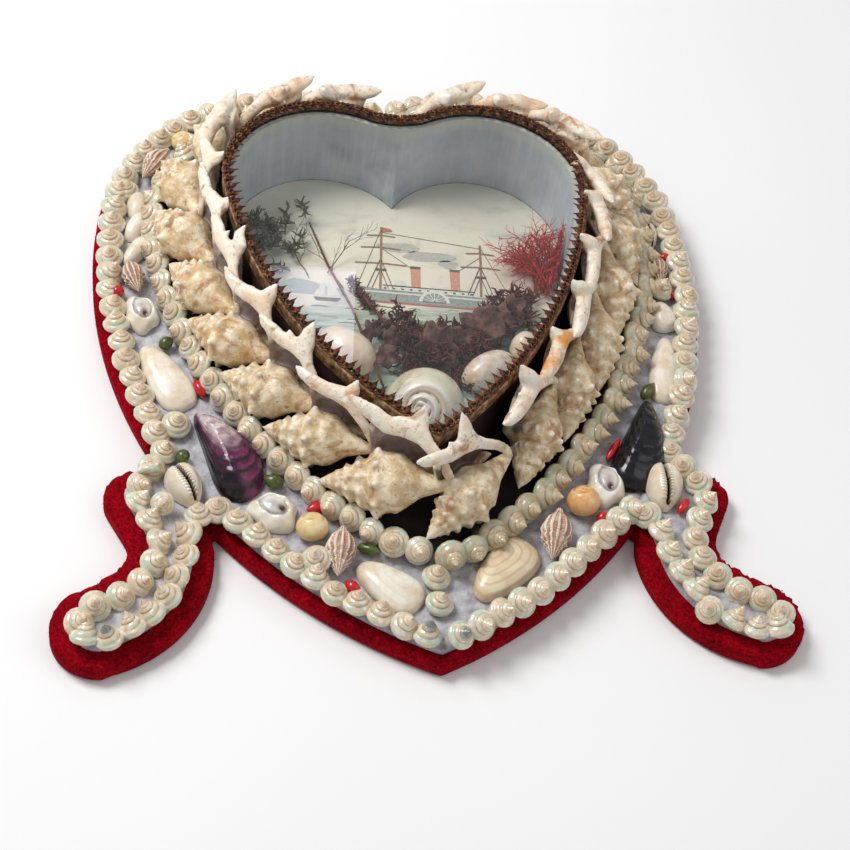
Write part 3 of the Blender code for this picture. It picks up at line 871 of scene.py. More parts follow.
def sheet(outline, low, high):
    """A plate over an outline in the XZ plane, from y low to y high."""
    count = len(outline)
    points = [(x, low, z) for x, z in outline] + [(x, high, z) for x, z in outline]
    faces = [tuple(range(count)), tuple(range(2 * count - 1, count - 1, -1))]
    faces += [(i, count + i, count + (i + 1) % count, (i + 1) % count) for i in range(count)]
    return np.array(points, float), faces


def horn(points, radii, flat, sides=12):
    """A stout arm of the lip, flatter across the lip's plane."""
    made, faces = tube(points, radii, sides)
    spine = np.repeat(np.asarray(points, float), sides, axis=0)
    made[:, 1] = spine[:, 1] + (made[:, 1] - spine[:, 1]) * flat
    return made, faces


def pelican(rng, thick):
    """One shell: knobbed whorls, a deep aperture, and a lip of a given thickness with its horns."""
    long, high, back = rng.uniform(1.0, 1.07), rng.uniform(0.86, 1.06), rng.uniform(0.8, 1.1)
    knobs = int(rng.integers(9, 12))
    bumps = ((-2.6, 1.8, knobs, 2.9), (3.6, 1.3, knobs, 0.8))
    body, faces, _ = turned_shell(PELICAN_BODY, 0.7, -8, knobs, 0.36, 90, 0.12, bumps, lower=0.12)
    clay = Clay().add(body * [long, 1.1, 1.1], faces)
    tip = 11.5 + rng.normal() * 1.5
    upper_horn = [(22.7, -0.8, 0.2), (21.4, -2.0, 4.6), (18.4, -2.9, 10.2), (14, -2.7, 15.4),
                  (11, -1.7, 19.2), (10.8, -0.6, 22.9 * high), (tip, -0.2, 26.5 * high),
                  (tip + 1.2, 0.2, 30.5 * high)]
    clay.add(*horn(upper_horn, (1.1, 1.9, 2.1, 2.5, 3.5, 3.8, 2.6, 0.4), thick))
    back_horn = [(12.8, -1.7, 17), (7, -1.4, 19.8), (1, -0.8, 21.2), (-4, 0.2, 23 * back),
                 (-8.5, 0.8, 25.4 * back), (-12, 1.4, 28.4 * back)]
    clay.add(*horn(back_horn, (2.8, 3.1, 3.2, 3.0, 2.3, 0.4), thick))
    middle_horn = [(3.5, -1, 20), (3.2 + rng.normal(), -0.6, 23.8), (2.6, -0.3, 25.8 * high)]
    clay.add(*horn(middle_horn, (2.8, 2.0, 0.4), thick))
    web = [(13.6, 15.8), (12, 26 * high), (7.5, 23.6), (1, 23.2), (-7, 25.6 * back), (-2, 19.6)]
    clay.add(*sheet(web, -1.5, 0.9))
    strut = [(3, 1.8, 19), (-1.5, 3.4, 16), (-4.2, 4.8, 11), (-5, 5.2, 5)]
    clay.add(*horn(strut, (1.8, 1.5, 1.4, 1.8), 0.8, 8))
    plate = [(20, 0.5), (16.5, 6), (12, 12), (9.5, 18), (4, 20), (-2, 20), (-5, 13), (-6, 6), (-6, 1), (8, 0)]
    points, faces = sheet(plate, 3.4, 4.9)
    points[:, 1] += 2.6 * (1 - points[:, 2] / 20)
    clay.add(points, faces)
    for x, root, lean in ((9.3, 6.4, 0), (-1.5, 8.4, -3)):
        ridge = [(x - 2, root, 1), (x - 1 + lean * 0.3, root + 0.6, 7), (x + lean * 0.7, 5.0, 13),
                 (x + lean, 1.8, 20)]
        clay.add(*tube(ridge, (1.8, 2.2, 2.1, 1.6), 8))
    points, faces, normals = evaluated(np.vstack(clay.points), clay.faces, 0.86, 1)
    y, z = points[:, 1], points[:, 2]
    deep = np.clip((y + 0.1) / 1.6, 0, 1) * np.clip(-normals[:, 1] * 2.5 + 0.35, 0, 1)
    deep = deep * np.clip((z - 3.0) / 3, 0, 1) * np.clip((21.0 - z) / 3, 0, 1)
    lip = np.clip((z - 9) / 5, 0, 1) * (1 - deep)
    points = lumpy(points, 0.5, 3.6, int(rng.integers(1000)))
    return points, faces, {"inner": deep, "lip": lip, "high": np.clip((z - 4) / 13, 0, 1)}


def make_pelicans():
    look = pelican_look()
    for side in ("left", "right"):
        for index in range(PELICAN_COUNT):
            rng = np.random.default_rng(700 + index * 2 + (side == "right"))
            place, axes = pelican_placement(side, index)
            far = index >= FAR_FIRST
            points, faces, marks = pelican(rng, LIP_THICK["far" if far else side if index else "left"])
            if far:
                points[:, 2] -= np.maximum(points[:, 2] - FAR_HORNS_FROM, 0) * FAR_HORNS_LOST
            turn = spin(rng.normal() * 0.07, (1, 0, 0)) @ spin(rng.normal() * 0.05, (0, 0, 1))
            if index == 0 and side == "left":
                points = points * FRONT_SHELL_SIZE + [3, 0, 0]
            # the 'right' mark picks the right-hand ring, whose apertures are painted darker as shade
            clay = Clay().add(points @ (axes @ turn).T + place, faces, **marks, tone=rng.uniform(0, 1),
                              right=float(side == "right"), amber=AMBER[side][index])
            place_name = f"{side}_{index + 1}"
            clay.piece(f"knobbed_shell_{place_name}", look, "pelican_shell", f"pelican_foot_{place_name}")


# ---------------------------------------------------------------- the glazed case
CASE_WALL = 3
CASE_FLOOR = 7.3
TRIM_OUTSET = 1.2
TOOTH_PITCH = 4.1


def ring_wall(outer, inner, levels):
    """A closed wall between two outlines of equal count, each a function of the level, from the lowest up."""
    rows = [at_level(outer(z), z) for z in levels] + [at_level(inner(z), z) for z in levels[::-1]]
    count = len(rows[0])
    last = (len(rows) - 1) * count
    faces = grid_faces(len(rows), count)
    faces += [(last + i, last + (i + 1) % count, (i + 1) % count, i) for i in range(count)]
    return np.vstack(rows), faces


def leaning(outline, offset):
    """A wall's outline by level: its cleft is sharp at the foot and shallow at the top."""
    return lambda z: eased(outline, offset, np.clip((z - 12) / (WALL_TOP - 14), 0, 1) ** 0.8)


def plate_body(outline, low, high, bevel=0.4):
    """A plate with rounded edges over an outline."""
    away = unit_rows(outline - outline.mean(axis=0))
    corner = bevel * 0.3
    edge = ((bevel, low), (0, low + bevel), (0, high - bevel), (corner, high - corner), (bevel, high))
    rings = [at_level(outline - away * inset, z) for inset, z in edge]
    return np.vstack(rings), closed_grid(len(rings), len(outline))


def make_case():
    outside, within = (leaning(heart_outline(CASE, offset), offset) for offset in (0, -1.2))
    wall = Clay().add(*ring_wall(outside, within, (CASE_FLOOR, 14, 20, 26, 32, 38, WALL_TOP)))
    wall.piece("case_outside", wall_look(), "case_paper", "case_wall")
    outer, inner = (leaning(heart_outline(CASE, offset, (16, 9, 1)), offset) for offset in (-1.3, -CASE_WALL))
    lining = Clay().add(*ring_wall(outer, inner, (CASE_FLOOR + 0.9, 12, 18, 24, 30, 36, 41, WALL_TOP)))
    lining.piece("case_lining", lining_look(), "case_paper", smooth=False)
    glass = Clay().add(*plate_body(eased(heart_outline(CASE)), GLASS_BOTTOM, GLASS_TOP))
    glass.piece("case_glass", glass_look(), "pane_glass", "glass_pane", smooth=False)


def wall_look():
    look = Look("case_wall_paper", Roughness=0.8)
    cloud = look.noise(9, 4, 0.6)
    colour = look.ramp(cloud, (0.3, (0.006, 0.003, 0.004)), (0.7, (0.05, 0.006, 0.012)))
    return look.done(colour, normal=look.bump(look.noise(1.5, 3), 0.4, 0.4))


def lining_look():
    look = Look("case_lining_paper", Roughness=0.6)
    cloud = look.noise(16, 4, 0.55)
    streak = look.noise(3, 3, 0.6, stretch=(1, 1, 0.12))
    colour = look.ramp(cloud, (0.3, (0.3, 0.35, 0.42)), (0.7, (0.52, 0.57, 0.62)))
    colour = look.mix(colour, (0.68, 0.72, 0.64), look.ramp(streak, (0.5, 0.0), (0.75, 0.5)))
    # painted highlights: pale cells stand for the soft light caught by the facets of the lining
    facet_light = look.cells(34)
    colour = look.mix(colour, (0.66, 0.7, 0.72), look.ramp(facet_light, (0.5, 0.0), (0.62, 0.3)))
    height = look.plus(look.times(look.axis("Z"), 20.0), look.times(look.noise(14, 3), 0.16))
    colour = look.mix(colour, (0.66, 0.7, 0.58), look.ramp(height, (0.86, 0.0), (0.95, 0.7)))
    return look.done(colour, normal=look.bump(streak, 0.3, 0.4))


def glass_look():
    look = Look("old_glass", Roughness=0.0, Metallic=0.8, Alpha=0.05)
    look.shader.inputs["Base Color"].default_value = (0.62, 0.68, 0.72, 1)
    return look.done()


def braid_look():
    look = Look("copper_braid", Roughness=0.5, Metallic=0.35)
    tint = look.noise(2.2, 4, 0.65)
    coppers = (0.34, (0.02, 0.007, 0.004)), (0.52, (0.115, 0.036, 0.014)), (0.72, (0.42, 0.17, 0.06))
    colour = look.ramp(tint, *coppers)
    worn = look.noise(3.4, 5, 0.7)
    side = look.ramp(worn, (0.36, (0.06, 0.024, 0.012)), (0.5, (0.36, 0.2, 0.09)), (0.64, (0.7, 0.52, 0.3)))
    colour = look.mix(colour, side, look.mark("side"))
    fray = look.noise(0.5, 3, 0.7)
    return look.done(colour, look.ramp(tint, (0.3, 0.75), (0.7, 0.4)), look.bump(fray, 0.7, 0.3))


def run_round(offset, pitch):
    """Stations all round the case at an offset: place, direction along, and direction inwards."""
    line = eased(heart_outline(CASE, offset), offset)
    line = np.vstack([line, line[:1]])
    total = length_of(line)
    count = round(total / pitch)
    spots = [station(line, total * (i + 0.5) / count) for i in range(count)]
    return [(place, along, np.array([along[1], -along[0]])) for place, along in spots]


HALF_TOOTH = ((-2.0, -0.6), (-1.9, 0.5), (-1.25, 1.1), (-0.95, 2.0), (-0.4, 2.3))
TOOTH = (*HALF_TOOTH, (0, 3.9), *((-x, y) for x, y in HALF_TOOTH[::-1]))
TRIM_LEVEL = TRIM_BOTTOM + 0.75


def twisted_cord(clay, offset, radius):
    """Two strands twisted round each other, all round the case."""
    spots = run_round(offset, 0.85)
    for strand in range(2):
        path = []
        for i, (place, _, inward) in enumerate(spots):
            turn = i * 1.3 + strand * math.pi
            level = TRIM_LEVEL + 0.5 + math.sin(turn) * radius * 0.7
            path.append(flat3(place + inward * math.cos(turn) * radius * 0.7, level))
        clay.add(*tube(path, radius * 0.62, 5))


def make_trim():
    """Braid over the glass edge: two twisted cords, a row of loops, and pointed teeth along the inside."""
    clay = Clay()
    band_out, band_in = (eased(heart_outline(CASE, offset), offset) for offset in (TRIM_OUTSET, 0.05))
    levels = (GLASS_TOP - 5.6, GLASS_TOP - 0.4, TRIM_BOTTOM + 0.5)
    clay.add(*ring_wall(lambda z: band_out, lambda z: band_in, levels), side=1.0)
    for offset, radius in ((0.75, 0.5), (-1.0, 0.45)):
        twisted_cord(clay, offset, radius)
    for place, along, inward in run_round(-0.9, TOOTH_PITCH):
        loop = []
        for k in range(13):
            turn = k / 12 * 2 * math.pi
            spot = place + along * math.cos(turn) * 1.35 + inward * (math.sin(turn) * 0.9 - 0.3)
            loop.append(flat3(spot, TRIM_LEVEL + 1.0 + 0.25 * math.cos(2 * turn)))
        clay.add(*tube(loop, 0.38, 5))
        reach, wide, lift = RNG.uniform(0.85, 1.12), RNG.uniform(0.85, 1.05), RNG.uniform(0.2, 1.2)
        slant = RNG.normal() * 0.12
        points, faces = sheet(TOOTH, -0.3, 0.35)
        u, thick, v = points.T
        flat = place + along * (u * wide + v * slant)[:, None] + inward * (v * reach)[:, None]
        rise = TRIM_LEVEL + 0.2 + thick * (1.2 - 0.2 * np.abs(v)) + lift * (v / 3.9) + 0.35 * np.cos(u * 2.2)
        clay.add(np.column_stack([flat, rise]), faces)
    clay.piece("copper_trim", braid_look(), "braid", "braid_trim")


# ---------------------------------------------------------------- the larger shells of the band
def valve(length, width, height, taper=0.0, umbo=(0, 0), flat=2.1, crown=2.0, ridge=0.0, count=12,
          around=64, rings=26):
    """A domed shell on its rim: rows of growth rings spread from the umbo to the outline."""
    theta = round_angles(around)
    ex, ey = (np.sign(way(theta)) * np.abs(way(theta)) ** (2 / flat) for way in (np.cos, np.sin))
    outline = np.stack([ex * length / 2, ey * width / 2 * (1 + taper * ex)], axis=1)
    start = np.array(umbo) * [length / 2, width / 2]
    s = np.sin(np.linspace(0, math.pi / 2, rings + 1))[1:]
    flatly = start + s[:, None, None] * (outline - start)
    nx = flatly[..., 0] * 2 / length
    ny = flatly[..., 1] * 2 / (width * (1 + taper * nx))
    rho = np.clip((np.abs(nx) ** flat + np.abs(ny) ** flat) ** (1 / flat), 0, 1)
    z = height * (1 - rho**crown) ** (1 / crown)
    steps = np.sin(2 * math.pi * count * s)[:, None]
    z = z + ridge * steps * np.clip(1.2 - rho, 0, 1) * np.clip(s * 4, 0, 1)[:, None]
    peak = height * max(1 - np.hypot(*(start * 2 / [length, width])) ** crown, 0) ** (1 / crown)
    points = np.concatenate([flatly, z[..., None]], axis=2).reshape(-1, 3)
    faces = [face[::-1] for face in grid_faces(rings, around)]
    faces += [(rings * around, i, (i + 1) % around) for i in range(around)]
    faces.append(tuple(range((rings - 1) * around, rings * around))[::-1])
    return np.vstack([points, [(*start, peak)]]), faces, {"band": np.append(np.repeat(s, around), 0)}


def cowrie(length, width, height):
    """A small cowrie lying on its back: a swollen oval, narrower at one end, with a toothed slit."""
    points, faces, _ = valve(length, width, height, taper=-0.3, around=110, rings=44, crown=2.2)
    x, y, z = points.T
    bend = y - 0.06 * width * np.sin(x * 3.6 / length)
    run = np.clip((0.47 - np.abs(x / length)) * 14, 0, 1)
    teeth = (0.5 + 0.5 * np.cos(x * 2 * math.pi / 1.15)) * run
    mouth = 0.06 * width * (1 - 0.45 * teeth * (bend > 0) - 0.2 * teeth)
    groove = np.exp(-((bend / mouth) ** 4)) * run
    cheek = np.exp(-(((np.abs(bend) - 0.24 * width) / (0.15 * width)) ** 2)) * run
    comb = np.exp(-(((np.abs(bend) - 0.1 * width) / (0.08 * width)) ** 2)) * teeth
    points[:, 2] = z - groove * height * 0.32 + cheek * height * 0.09 + comb * 0.55
    near = np.exp(-((bend / (0.16 * width)) ** 4)) * run
    shade = np.clip(groove * 1.6, 0, 1) + 0.5 * (1 - teeth) * near
    return points, faces, {"shade": np.clip(shade, 0, 1)}


RING_LUMPS = ((0.38, 0.16), (0.3, -0.26), (-0.02, -0.38), (-0.28, -0.22), (0.05, 0.36))


def ring_cowrie(length, width, height):
    """A ringed cowrie back up: a lumpy white margin round a raised back, shaded along one side, with its worn
    hole painted near-black as the shade inside it.
    """
    height *= 0.74
    points, faces, _ = valve(length, width, height, taper=-0.1, flat=2.3, around=96, rings=40, crown=2.3,
                             umbo=(-0.06, 0.06))
    x, y, z = points.T
    angle = np.arctan2(y / width, x / length)
    edge = np.hypot(x / length, y / width) * 2
    wide = 1 + (0.06 * np.cos(5 * angle + 0.6) + 0.06 * np.cos(3 * angle + 2.0)) * edge**2
    points[:, 0] = x * wide
    points[:, 1] = y * wide
    u, v = x / length + 0.06, y / width - 0.05
    back = np.hypot(u / 0.29, v / 0.27)
    groove = np.exp(-(((back - 1.0) / 0.13) ** 2))
    boss = np.exp(-((back / 0.7) ** 2))
    lumps = sum(np.exp(-(((u - a) / 0.1) ** 2) - ((v - b) / 0.11) ** 2) for a, b in RING_LUMPS)
    points[:, 2] = z - groove * height * 0.13 + boss * height * 0.1 + lumps * height * 0.16
    low_side = np.clip(0.5 + 1.9 * (u * 0.5 - v), 0, 1)
    shade = groove * (0.35 + 0.65 * low_side) + np.clip(1.02 - back, 0, 1) * low_side * 1.3
    # painted shade: a shallow dent painted near-black stands for the shade inside the worn hole in the back
    hollow = np.exp(-(((u - 0.2) / 0.07) ** 2 + ((v - 0.02) / 0.09) ** 2))
    points[:, 2] -= hollow * 1.3
    marks = {"shade": np.clip(shade, 0, 1) * (back < 1.3), "dark": np.clip(hollow * 1.4, 0, 1)}
    return points, faces, marks


def mussel(length, width, height, black):
    """A mussel valve: a pointed umbo, a straight edge, and a broad rounded end, in purple or in black."""
    points, faces, marks = valve(length, width, height, taper=0.5, umbo=(-0.9, 0.0), flat=2.15, ridge=0.16,
                                 count=8)
    x, y, z = points.T
    points[:, 1] += 0.1 * width * np.cos(x * 3.3 / length) * 1.6
    keel = np.exp(-(((y + 0.1 * width) / (0.25 * width)) ** 2))
    points[:, 2] = z * (0.96 + 0.2 * keel)
    return points, faces, {**marks, "shade": np.clip(0.5 - y / width, 0, 1), "tone": float(black)}


# A share of the length from the middle, and a share of the width.
WHELK_PROFILE = (
    (-0.5, 0.1), (-0.39, 0.2), (-0.25, 0.4), (-0.06, 0.5),
    (0.1, 0.44), (0.24, 0.31), (0.38, 0.17), (0.5, 0.0),
)


def whelk(length, width):
    """A ribbed whelk on its side, its canal towards -X."""
    profile = [(x * length, r * width) for x, r in WHELK_PROFILE]
    points, faces, marks = turned_shell(profile, 0.68, 0.12 * length, 12, 0.26, 50, 0.2)
    points = points + [0, 0, width * 0.5]
    points[:, 2] = np.maximum(points[:, 2], 0)
    return points, faces, marks


def globe(size, height, around=32, rows=26):
    """A round smooth winkle, its small spire up."""
    turn = round_angles(around)
    a = np.linspace(0.04, math.pi - 0.06, rows)
    r = size * np.sin(a) ** 0.9
    level = np.where(a < math.pi / 2, np.log(r / size) / math.log(0.5), 0)
    share = (level[:, None] - turn / (2 * math.pi)) % 1
    spire = np.clip((level - 0.3) / 0.25, 0, 1)[:, None]
    seam = np.exp(-((np.minimum(share, 1 - share) / 0.09) ** 2)) * spire
    r = r[:, None] * (1 - 0.05 * seam)
    whorls = height * 0.035 * spire * (np.sin(math.pi * share) - 1.2 * seam)
    z = (height / 2 * (1 + np.cos(a)))[:, None] + whorls
    points = np.stack([r * np.cos(turn), r * np.sin(turn), z], axis=2).reshape(-1, 3)
    faces = grid_faces(rows, around)
    faces += [tuple(range(around)), tuple(range(len(points) - around, len(points)))[::-1]]
    spire = np.broadcast_to(spire, share.shape)
    return points, faces, {"growth": share.reshape(-1), "spire": spire.reshape(-1)}, seam.reshape(-1)


def ellipsoid(length, width, point, around=14, rows=10):
    """A seed along X, drawn out at one end by a share."""
    turn = round_angles(around)
    rings = []
    for a in np.linspace(0.12, math.pi - 0.05, rows):
        x = math.cos(a) * length / 2
        r = math.sin(a) * width / 2 * (1 - point * max(math.cos(a), 0) ** 2)
        rings.append(np.stack([np.full(around, x), r * np.cos(turn), r * np.sin(turn)], axis=1))
    return np.vstack(rings), closed_grid(rows, around, flip=True)


def laid(points, x, y, turn, z=BED_TOP + 0.2, roll=0.0, pitch=0.0):
    """Points rolled about X, pitched about Y and turned about Z, in degrees, and set in their place."""
    turned = points @ (spin(math.radians(turn), (0, 0, 1)) @ spin(math.radians(pitch), (0, 1, 0))
                       @ spin(math.radians(roll), (1, 0, 0))).T
    return turned + [x, y, z]


# Each row below is a name or side, x, y and turn on the board in millimetres and degrees, and the shell's
# sizes. A winkle has no turn, and an oval has no name.
MUSSELS = (("left", -76, -52, -65, 44, 18.5, 9.5), ("right", 85.6, -46.6, -110, 46, 17.5, 9.5))
COWRIES = (
    ("left_cowrie", -90, -66.5, -69, 19, 13, 8.8),
    ("right_cowrie_lower", 93, -67.5, -99, 21, 14.6, 9.2),
    ("right_cowrie_upper", 109, 65, -90, 14, 8, 7),
)
RING_COWRIES = (
    ("left_ring_cowrie_upper", -105.8, 17.8, -80, 18, 13, 8),
    ("left_ring_cowrie_lower", -57.5, -78.5, -40, 18.5, 15.5, 8.6),
    ("right_ring_cowrie", 70, -66.5, -96, 19.5, 14.5, 8.4),
    ("right_ring_cowrie_top", 103, 94, 115, 14, 8, 6.5),
)
TELLINS = (
    ("left_tellin_upper", -96.9, -13.8, -63, 35, 15, 5.4),
    ("left_tellin_lower", -17.3, -110.8, -40, 28, 15.5, 5.6),
    ("right_tellin_lower", 26, -104.5, 48, 32.5, 17.5, 6),
    ("right_tellin_upper", 103.6, -8, -101, 35, 11.5, 5),
    ("right_clam", 107.5, 20, -80, 15, 10, 6.4),
)
TAN_TELLIN = "right_tellin_lower"
WHELKS = (
    ("left_whelk_upper", -109, 36, -75, 17, 8.4),
    ("left_whelk_lower", -34.5, -98.2, -99, 22, 10.2),
    ("left_whelk_top", -100, 99.6, -122, 20.5, 9.4),
    ("right_whelk_lower", 46.5, -91.5, -105, 23.5, 10.8),
    ("right_whelk_upper", 109.2, 44, -90, 17, 8),
)
WINKLES = (
    ("left_periwinkle_lower", -43.8, -89.4, 6.1, 10),
    ("left_periwinkle_top", -87.3, 115.2, 4.8, 6.6),
    ("right_periwinkle_lower", 60, -78.6, 6.5, 11),
)
OVALS = ((-107.6, 78, 84, 15.5, 8.8), (-107.8, 65.8, 66, 16, 8.4), (-107.6, 52.6, 58, 18, 7.8))


def band_piece(name, look, node, body, *place, roll=0.0):
    """One shell of the band, laid in its place."""
    points, faces, marks = body
    Clay().add(laid(points, *place, roll=roll), faces, **marks).piece(name, look, "band_shell", node)


def make_band_shells():
    white = shell_look("white_shell", (0.88, 0.83, 0.74), (0.72, 0.58, 0.4), (0.58, 0.46, 0.33), 9, 0.36,
                       30, 0.16)
    tan = shell_look("tan_shell", (0.8, 0.7, 0.48), (0.68, 0.5, 0.31), (0.52, 0.34, 0.2), 9, 0.32, 34, 0.5)
    cream = shell_look("cowrie_shell", (0.88, 0.8, 0.66), (0.76, 0.62, 0.44), (0.03, 0.012, 0.008), 7, 0.2)
    ringed = ring_look()
    yellow = shell_look("yellow_winkle", (0.86, 0.72, 0.42), (0.76, 0.52, 0.22), (0.5, 0.26, 0.1), 5, 0.28)
    orange = shell_look("orange_winkle", (0.86, 0.54, 0.26), (0.74, 0.36, 0.12), (0.42, 0.16, 0.06), 4, 0.25)
    striped = whelk_look()
    dark = mussel_look()
    for side, x, y, turn, *size in MUSSELS:
        body = mussel(*size, side == "right")
        band_piece(f"{side}_purple_mussel", dark, f"{side}_mussel", body, x, y, turn)
    for name, x, y, turn, *size in COWRIES:
        band_piece(name + "_slit", cream, name, cowrie(*size), x, y, turn)
    for name, x, y, turn, *size in RING_COWRIES:
        band_piece(name + "_back", ringed, name, ring_cowrie(*size), x, y, turn)
    for name, x, y, turn, *size in TELLINS:
        body = valve(*size, taper=0.3, umbo=(0.15, 0.8), flat=2.5, crown=2.4, ridge=0.05, count=9)
        band_piece(name + "_valve", tan if name == TAN_TELLIN else white, name, body, x, y, turn)
    for name, x, y, turn, *size in WHELKS:
        band_piece(name + "_ribbed", striped, name, whelk(*size), x, y, turn)
    for name, x, y, *size in WINKLES:
        points, faces, _, seam = globe(*size)
        look = orange if "right" in name else yellow
        body = points, faces, {"shade": seam * 0.85}
        band_piece(name + "_shell", look, name, body, x, y, RNG.uniform(0, 360), roll=30)
    clay = Clay()
    for x, y, turn, length, width in OVALS:
        points, faces, marks = valve(length, width, 5.4, taper=0.1, crown=2.1, umbo=(0.5, 0.3), ridge=0.05,
                                     count=9, around=40)
        clay.add(laid(points, x, y, turn), faces, **marks)
    clay.piece("long_white_shells", white, "band_shell", "left_ovals")


def ring_look():
    look = Look("ringed_cowrie", Roughness=0.22, Coat_Weight=0.35, Coat_Roughness=0.12)
    colour = look.ramp(look.noise(6, 3), (0.35, (0.78, 0.68, 0.54)), (0.6, (0.9, 0.87, 0.79)))
    colour = look.mix(colour, (0.24, 0.22, 0.27), look.times(look.mark("shade"), 0.9))
    # painted shade: the 'dark' mark blackens the worn hole in the back
    colour = look.mix(colour, (0.06, 0.015, 0.012), look.mark("dark"))
    return look.done(colour, normal=look.bump(look.noise(2, 2), 0.15, 0.4))


def whelk_look():
    look = Look("striped_whelk", Roughness=0.32, Coat_Weight=0.2, Coat_Roughness=0.2)
    colour = look.ramp(look.noise(3, 3), (0.35, (0.82, 0.68, 0.5)), (0.6, (0.92, 0.86, 0.75)))
    wave = look.plus(look.times(look.mark("rib"), 6.283), look.times(look.noise(2.5, 2), 0.8))
    ribs = look.maths("COSINE", wave)
    cords = look.maths("SINE", look.times(look.mark("band"), 44.0))
    between = look.times(look.ramp(ribs, (0.2, 1.0), (0.62, 0.0)), look.ramp(cords, (0.45, 1.0), (0.8, 0.35)))
    patch = look.ramp(look.noise(5, 2), (0.36, 0.6), (0.5, 1.0))
    colour = look.mix(colour, (0.36, 0.1, 0.035), look.times(between, patch))
    colour = look.mix(colour, (0.22, 0.08, 0.04), look.ramp(look.mark("mid"), (0.0, 0.8), (0.3, 0.0)))
    return look.done(colour, normal=look.bump(cords, 0.4, 0.3))


def mussel_look():
    look = Look("dark_mussel", Roughness=0.24, Specular_IOR_Level=0.35, Coat_Weight=0.25, Coat_Roughness=0.08)
    band, tone = look.mark("band"), look.mark("tone")
    streak = look.noise(4, 4, 0.65)
    rings = look.maths("SINE", look.plus(look.times(band, 54.0), look.times(look.noise(9, 3), 4.0)))
    pale = look.ramp(streak, (0.38, (0.38, 0.26, 0.3)), (0.6, (0.76, 0.66, 0.64)))
    purple = look.ramp(streak, (0.35, (0.05, 0.008, 0.035)), (0.62, (0.2, 0.03, 0.11)))
    colour = look.mix(pale, purple, look.ramp(band, (0.28, 0.0), (0.62, 1.0)))
    one_side = look.ramp(look.mark("shade"), (0.42, 0.1), (0.62, 1.0))
    black = look.times(look.ramp(band, (0.6, 0.0), (0.82, 1.0)), one_side)
    colour = look.mix(colour, (0.006, 0.005, 0.01), black)
    lines = look.times(look.ramp(rings, (0.35, 0.0), (0.75, 0.9)), look.ramp(band, (0.45, 0.12), (0.72, 1.0)))
    colour = look.mix(colour, (0.02, 0.008, 0.018), lines)
    night = look.ramp(streak, (0.35, (0.001, 0.001, 0.003)), (0.7, (0.009, 0.009, 0.016)))
    colour = look.mix(colour, night, tone)
    return look.done(colour, look.ramp(rings, (0.2, 0.14), (0.9, 0.36)), look.bump(rings, 0.4, 0.4))


# Colour, x, y, length, width, turn in degrees, and how far one end is drawn out.
SEEDS = (
    ("red", -97, 117, 3.6, 3.6, 0, 0.0), ("red", -115.4, 28.4, 4.6, 4.6, 0, 0.0),
    ("red", -83.9, -20.2, 7.5, 3.4, 118, 0.7), ("red", -42.3, -77.6, 6.5, 4.2, 200, 0.75),
    ("red", -31.0, -112.4, 5.4, 4.4, 140, 0.5), ("red", 66.3, -82.4, 5, 4.4, 60, 0.3),
    ("red", 75.6, -49.6, 9.5, 2.6, 55, 0.1), ("red", 99.0, -76.6, 6.5, 3.0, 50, 0.2),
    ("red", 114, 52.5, 4.4, 3.6, 0, 0.4), ("red", 114.4, 31.5, 4.2, 3.4, 0, 0.2),
    ("red", 99.5, 104, 4, 3.4, 0, 0.2), ("red", 116.2, 57.5, 4.6, 3, 40, 0.5),
    ("green", -96.4, 1.8, 5.2, 4.4, 30, 0.2), ("green", -90.6, -53.6, 4.8, 4.4, 60, 0.1),
    ("green", -57.4, -65.4, 6.5, 4.8, 160, 0.6), ("green", -23.6, -96.0, 8, 3.8, -30, 0.6),
    ("green", 94.4, -20.5, 8, 4, 50, 0.8), ("green", 105.6, 78.0, 5, 4, 0, 0.2),
    ("green", 17.5, -88.5, 6, 3.6, 120, 0.6),
)
# X, y, size, and lean in degrees.
SMALL_TOPS = (
    (-93.2, -38.4, 1.0, 14), (-43.2, -101.6, 1.0, 70), (-111.4, 85.0, 0.85, 30), (-97.2, 90.4, 0.8, 50),
    (108.5, 33.6, 0.95, 20), (103.5, 84.5, 0.9, 30), (97.5, 101.5, 0.85, 60), (-98.5, -75.5, 0.85, 74),
    (-103, -62, 0.8, 70),
)


def make_small_things(nacre):
    """Seeds and loose top shells tucked between the larger ones."""
    red = shell_look("red_seed", (0.62, 0.01, 0.015), (0.4, 0.004, 0.01), (0.2, 0.0, 0.0), 3, 0.25)
    green = shell_look("green_seed", (0.1, 0.13, 0.02), (0.035, 0.05, 0.01), (0.1, 0.06, 0.02), 3, 0.3)
    clay = {"red": Clay(), "green": Clay()}
    for colour, x, y, length, width, turn, drawn in SEEDS:
        points, faces = ellipsoid(length * 1.2, width * 1.2, drawn)
        points = lumpy(points, 0.12, 1.2, int(abs(x)))
        clay[colour].add(laid(points, x, y, turn, BED_TOP + width * 0.55 + 0.9, pitch=-12), faces)
    clay["red"].piece("red_seeds", red, "band_shell")
    clay["green"].piece("green_seeds", green, "band_shell")
    clay = Clay()
    for x, y, size, lean in SMALL_TOPS:
        turn = RNG.uniform(0, 6.283)
        over, up = math.sin(math.radians(lean)), math.cos(math.radians(lean))
        axis = np.array([over * math.cos(turn), over * math.sin(turn), up])
        place = np.array([x, y, BED_TOP + 0.6 + 3.2 * over])
        add_top(clay, place, frame_axes(np.array([1.0, 0.3, 0]), axis), size)
    clay.piece("loose_tops", nacre, "pearl_top_shell")


